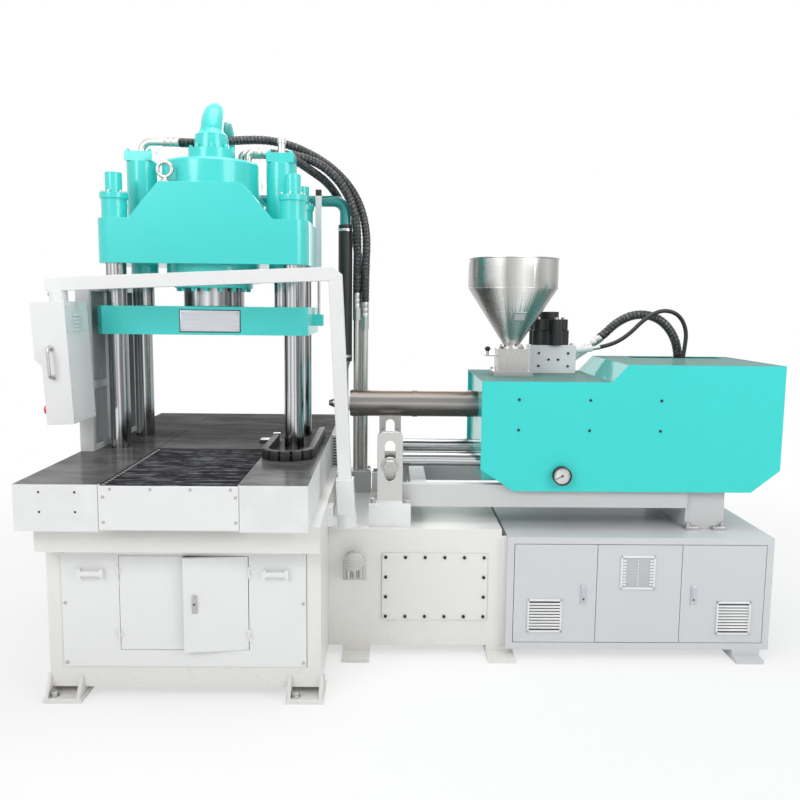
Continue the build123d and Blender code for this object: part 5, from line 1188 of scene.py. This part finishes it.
class MakeUnit(bpy.types.Operator):
    """Add the cover's screws, the gauge face, the bracket clamps and the barrel's bands"""

    bl_idname = "machine.make_unit"
    bl_label = "Injection unit"

    def execute(self, context):
        across, heights = (1505, 1843, 2181), (1227, 1082)
        places = on_front(-COVER_SIDE, across, heights)
        places += [((x, COVER_SIDE, z), BACK) for x in across for z in heights]
        shown("cover_screws", socket_screw(0.0065, 0.004), places, "black", "carriage")
        self.gauge_face()
        self.bed_fittings()
        band = turned("band_pattern", [(67.1, 0), (69.6, 0), (69.6, 26), (67.1, 26)], 56, True)
        places = [((x, 0, BARREL_HEIGHT), RIGHT) for x in (700, 1009, 1290)]
        shown("barrel_bands", band, places, "barrel", "carriage")
        heater = turned("heater_pattern", [(24.2, 0), (33, 0), (33, 30), (24.2, 30)], 40, True)
        shown("nozzle_heater", heater, [((614, 0, BARREL_HEIGHT), RIGHT)], "barrel", "carriage")
        return {"FINISHED"}

    def gauge_face(self):
        """Black rim, white dial, tick marks and a hub cap."""
        x, z = 1715, 866
        rim = [(38.6, -8), (40, -8), (44.6, -2), (45, 1), (43, 2.4), (39.5, 1), (38.6, -2)]
        pattern = turned("rim_pattern", rim, 56, True)
        shown("gauge_rim", pattern, [((x, -384, z), FRONT)], "black", "carriage")
        dial = turned("dial_pattern", [(0, 0), (38.4, 0), (38.4, -1.4), (0, -1.4)], 56)
        shown("gauge_dial", dial, [((x, -376.25, z), FRONT)], "dial", "carriage")
        middle = Matrix.Translation((x * MM, 0, z * MM))
        ticks = []
        for step in range(25):
            half, inner = (0.4, 31) if step % 5 else (0.7, 27)
            tick = block("tick", (-half, -376.9, inner), (half, -376.3, 36), 0.0001, 1)
            ticks.append(moved(tick, middle @ Matrix.Rotation(math.radians(-120 + 10 * step), 4, "Y")))
        dress(joined("gauge_ticks", *ticks), "black", "carriage")
        hub = turned("hub_pattern", [(0, 0), (5, 0), (5, 1.6), (3, 2.4), (0, 2.4)], 24)
        shown("needle_hub", hub, [((x, -377.8, z), FRONT)], "black", "needle")

    def bed_fittings(self):
        """Washers, nuts and bolts of the slotted brackets and the pedestal pads."""
        washer = turned("washer", [(20.4, 0), (42, 0), (42, 7), (40, 9), (20.4, 9)], 40, True)
        nut = turned("clamp_nut", [(20.3, 0), (34, 0), (34, 20), (31, 23), (20.3, 23)], 6, True)
        for name, pattern, reach in (("clamp_washers", washer, 380), ("clamp_nuts", nut, 389)):
            places = [((896.5, side * reach, 912), (0, side, 0)) for side in (-1, 1)]
            shown(name, pattern, places, "fastener")
        shown("bracket_bolts", hex_bolt(0.014, 0.014), on_top(729, (816, 977), (-360, 360)), "fastener")
        places = on_top(975, (868, 925), (-100, 100))
        shown("end_block_screws", socket_screw(0.010, 0.010), places, "fastener")
        pads = [
            block("pad", (x - 32, y - 34, 595), (x + 32, y + 34, 611), 0.002)
            for x in (2368, 2500)
            for y in (-300, 300)
        ]
        dress(joined("pedestal_pads", *pads), "fastener")
        shown("pad_bolts", hex_bolt(0.011, 0.013), on_top(611, (2350, 2518), (-318, 318)), "fastener")


class MakeHopper(bpy.types.Operator):
    """Add the hopper's rings, window and screws, and the gate's knob"""

    bl_idname = "machine.make_hopper"
    bl_label = "Hopper"

    def execute(self, context):
        rings = [
            wire_ring("hopper_ring", radius * MM, thick * MM, 72, 10, (HOPPER_X * MM, 0, height * MM))
            for height, radius, thick in ((1901, 226, 4.0), (1755, 225.6, 1.6))
        ]
        dress(smooth(joined("hopper_rings", *rings)), "stainless", "carriage")
        places = ring_of((HOPPER_X, 0, 1462), 53, 6, UP)
        shown("hopper_flange_screws", hex_bolt(0.007, 0.007), places, "fastener", "carriage")
        places = on_top(1339, (HOPPER_X - 87, HOPPER_X + 87), (-87, 87))
        shown("hopper_base_screws", socket_screw(0.007, 0.009), places, "fastener", "carriage")
        knob = turned("knob", [(0, 0), (8, 0), (13, 6), (15, 13), (12, 20), (6, 24), (0, 25)], 28)
        shown("gate_knob", knob, [((1392, 0, 1436), UP)], "black", "gate")
        self.sight_window()
        return {"FINISHED"}

    def sight_window(self):
        """A small framed window, bent to the cone at its front."""
        (small, low), (large, high), middle = (41, 1470), (226, 1755), 1613
        turn, slope = math.radians(8), math.atan2(large - small, high - low)
        outward = Vector((math.sin(turn), -math.cos(turn), 0))
        across = Vector((math.cos(turn), math.sin(turn), 0))
        normal = outward * math.cos(slope) - UP * math.sin(slope)
        place = Matrix((across, normal.cross(across), normal)).transposed().to_4x4()
        radius = small + (middle - low) * math.tan(slope)
        place.translation = Vector((HOPPER_X, 0, middle)) * MM + outward * radius * MM
        for name, half, back, front, finish in (
            ("sight_frame", (34, 26), -0.8, 2.2, "fastener"), ("sight_glass", (27, 19), 1.6, 2.9, "grey"),
        ):
            sheet = block(name, (-half[0], -half[1], back), (*half, front), 0.0005, 1)
            pick(sheet, lambda face: True)
            bpy.ops.mesh.subdivide(number_cuts=5)
            settle()
            for vertex in sheet.data.vertices:
                vertex.co.z -= vertex.co.x ** 2 * math.cos(slope) / (2 * radius * MM)
            sheet.data.transform(place)
            dress(smooth(sheet), finish, "carriage")


class MakeValves(bpy.types.Operator):
    """Add the screws and plugs of the valve group, the return hose's clamps and the sensor's cap"""

    bl_idname = "machine.make_valves"
    bl_label = "Valves and pipework"

    def execute(self, context):
        places = ring_of((1745, 220, 1598), 78, 5, UP)
        shown("motor_screws", socket_screw(0.011, 0.010), places, "fastener", "carriage")
        places = on_front(140, (1682, 1838), (1352, 1420)) + on_front(140, (1735, 1785), (1386,))
        shown("block_plugs", socket_screw(0.0065, 0.004), places, "black", "carriage")
        places = on_top(1462, (1860,), (160, 280))
        shown("block_screws", socket_screw(0.009, 0.010), places, "fastener", "carriage")
        clamps = [(644, 340, z) for z in (2060, 1376)]
        band = turned("clamp_band", [(38.1, 0), (39.6, 0), (39.6, 14), (38.1, 14)], 48, True)
        shown("hose_clamps", band, [(clamp, UP) for clamp in clamps], "stainless")
        worm = block("worm", (-9, -49, 1), (9, -38.6, 13), 0.0015)
        shown("clamp_screws", worm, [(clamp, UP) for clamp in clamps], "fastener")
        places = on_top(740, (637, 777), (310, 414))
        shown("manifold_screws", socket_screw(0.009, 0.010), places, "fastener")
        dress(block("sensor_cap", (501, 136, 2219), (531, 164, 2254), 0.003), "black")
        return {"FINISHED"}


class MakeControl(bpy.types.Operator):
    """Add the screen, keys, louvres, rivets and handle feet of the control box, and the arm's lever"""

    bl_idname = "machine.make_control"
    bl_label = "Control box"

    def execute(self, context):
        left, right, top, bottom = -1301.5, -1154.5, 1006, 476
        self.louvres(right, top)
        rivet = turned("box_rivet", [(0, 1.6), (2.4, 1.2), (3.6, 0), (0, 0)], 14)
        heights = [bottom + rise for rise in (24, 150, 276, 402, 506)]
        places = [((right, y, z), RIGHT) for y in (-116, 116) for z in heights]
        self.put(copies("box_rivets", rivet, places), "fastener")
        bezel = block("screen_bezel", (left - 4, -105, top - 205), (left + 0.5, 105, top - 35), 0.003)
        recessed(bezel, lambda face: face.normal.x < -0.9 and face.area > 0.01, 0.016, (0.002, 0, 0))
        self.put(bezel, "black")
        glass = block("screen_glass", (left - 2.8, -87, top - 188), (left - 1.6, 87, top - 52), 0.0004)
        self.put(glass, "screen")
        step = left + 30
        keys = [
            block("key", (step - 4, y - 8, z - 8), (step + 0.5, y + 8, z + 8), 0.0015)
            for z in range(bottom + 220, bottom + 124, -24)
            for y in range(70, -62, -22)
        ]
        self.put(joined("box_keys", *keys), "grey")
        collar = turned("stop_collar", [(21, 0), (27, 0), (27, 3), (25, 5), (21, 5)], 40, True)
        self.put(copies("stop_collar", collar, [((step, -80, bottom + 62), -RIGHT)]), "black")
        foot = turned("handle_foot", [(7.1, 0), (13, 0), (13, 4), (10, 8), (7.1, 8)], 28, True)
        places = on_front(-130, (-1228,), (top - 322, top - 198))
        self.put(copies("handle_feet", foot, places), "fastener")
        lever = block("clamp_lever", (-1272, -8, 1034), (-1216, 8, 1050), 0.003)
        dress(moved(lever, ARM), "black", "arm")
        return {"FINISHED"}

    def louvres(self, right, top):
        """Five sloping louvres near the top of the box's right side."""
        blades = []
        for row in range(5):
            z = top - 60 - row * 16
            blade = block("louvre", (right - 0.5, -50, z - 5), (right + 4, 50, z + 5), 0.0015)
            shifted(blade, lambda at: at.z > z * MM and at.x > (right + 2) * MM, (-0.003, 0, 0))
            blades.append(blade)
        self.put(smooth(joined("box_louvres", *blades)), "white")

    def put(self, piece, finish):
        """Carry a piece from the arm's own frame to its place on the box."""
        dress(moved(piece, ARM), finish, "control")


# Lamps: name, place, target, diameter in metres and power in watts
LAMPS = (
    ("key", (-2.6, -4.6, 4.2), (0.6, 0, 1.0), 3.0, 120),
    ("fill", (5.2, -4.2, 3.4), (1.4, 0, 1.0), 3.2, 94),
    ("top", (0.9, -0.6, 5.6), (0.9, 0, 0), 4.0, 102),
    ("rear", (1.0, 4.6, 3.6), (1.0, 0, 1.2), 3.6, 76),
)


class MakeStage(bpy.types.Operator):
    """Set up the pale floor, the soft lamps and the camera"""

    bl_idname = "machine.make_stage"
    bl_label = "Studio"

    def execute(self, context):
        studio = context.scene.machine_studio
        settle()
        bpy.ops.mesh.primitive_plane_add(size=60.0, location=(1, 0, 0))
        floor = added("studio_floor")
        finish = Finish("studio_paper")
        finish.set(base_color=(0.86, 0.86, 0.86), roughness=0.9)
        self.lift_camera_rays(finish)
        floor.data.materials.append(finish.material)
        self.world(context.scene)
        for name, place, target, size, power in LAMPS:
            self.lamp(name, place, target, size, power * studio.light)
        self.camera(context.scene, studio)
        context.scene.view_settings.view_transform = "Standard"
        return {"FINISHED"}

    def lift_camera_rays(self, finish):
        """Show the paper near white, seamless away from the machine, with its soft shadow."""
        tree = finish.tree
        white = tree.nodes.new("ShaderNodeEmission")
        blend = tree.nodes.new("ShaderNodeMixShader")
        far = finish.node("ShaderNodeVectorMath", {"operation": "LENGTH"}, {0: finish.place}, "Value")
        finish.feed(blend.inputs[0], finish.seen() * (0.6 + 0.4 * far.above(2.0, 5.0)))
        tree.links.new(finish.shader.outputs[0], blend.inputs[1])
        tree.links.new(white.outputs[0], blend.inputs[2])
        tree.links.new(blend.outputs[0], tree.nodes["Material Output"].inputs[0])

    def world(self, scene):
        """White to the camera and in mirrors, half as bright where it lights the machine."""
        scene.world = bpy.data.worlds.new("studio_air")
        air = Finish("studio_air", scene.world)
        air.set(color=(1.0, 1.0, 1.0), strength=0.5 + 0.5 * air.seen())

    def lamp(self, name, place, target, size, power):
        """A round soft lamp that looks at its target."""
        settle()
        turn = (Vector(target) - Vector(place)).to_track_quat("-Z", "Y").to_euler()
        bpy.ops.object.light_add(type="AREA", location=place, rotation=turn)
        lamp = bpy.context.active_object
        lamp.name = "lamp_" + name
        lamp.data.shape = "DISK"
        lamp.data.size = size
        lamp.data.energy = power

    def camera(self, scene, studio):
        """The camera at its place, with its pitch, yaw and roll."""
        pitch, yaw, roll = (math.radians(value) for value in studio.camera_turn)
        right = Vector((math.cos(yaw), math.sin(yaw), 0))
        ahead = Vector((-math.sin(yaw), math.cos(yaw), 0))
        look = ahead * math.cos(pitch) - UP * math.sin(pitch)
        top = ahead * math.sin(pitch) + UP * math.cos(pitch)
        side = right * math.cos(roll) + top * math.sin(roll)
        head = top * math.cos(roll) - right * math.sin(roll)
        data = bpy.data.cameras.new("photo_camera")
        data.sensor_width = 36.0
        data.lens = studio.lens
        camera = bpy.data.objects.new("photo_camera", data)
        scene.collection.objects.link(camera)
        turn = Matrix((side, head, -look)).transposed().to_4x4()
        camera.matrix_world = Matrix.Translation(studio.camera_place) @ turn
        scene.camera = camera


GROUPS = {"machine_colours": MachineColours, "machine_sizes": MachineSizes, "machine_studio": MachineStudio}
STEPS = (
    MakeStage, FinishNodes, MakeHoses, MakeSlideway, MakePressHead, MakeBase, MakeTank,
    MakeCabinet, MakeUnit, MakeHopper, MakeValves, MakeControl,
)


class MachinePanel(bpy.types.Panel):
    """Lists the steps that dress the machine"""

    bl_idname = "MACHINE_PT_steps"
    bl_label = "Moulding machine"
    bl_space_type = "VIEW_3D"
    bl_region_type = "UI"
    bl_category = "Machine"

    def draw(self, context):
        for step in STEPS:
            self.layout.operator(step.bl_idname)
        for name in GROUPS:
            values = getattr(context.scene, name)
            for key in values.__annotations__:
                self.layout.prop(values, key)


CLASSES = (*GROUPS.values(), *STEPS, MachinePanel)


def register():
    for made in CLASSES:
        bpy.utils.register_class(made)
    for name, group in GROUPS.items():
        setattr(bpy.types.Scene, name, PointerProperty(type=group))


def unregister():
    for name in GROUPS:
        delattr(bpy.types.Scene, name)
    for made in reversed(CLASSES):
        bpy.utils.unregister_class(made)


def main():
    register()
    for step in STEPS:
        group, name = step.bl_idname.split(".")
        getattr(getattr(bpy.ops, group), name)()
    settle()


if __name__ == "__main__":
    main()
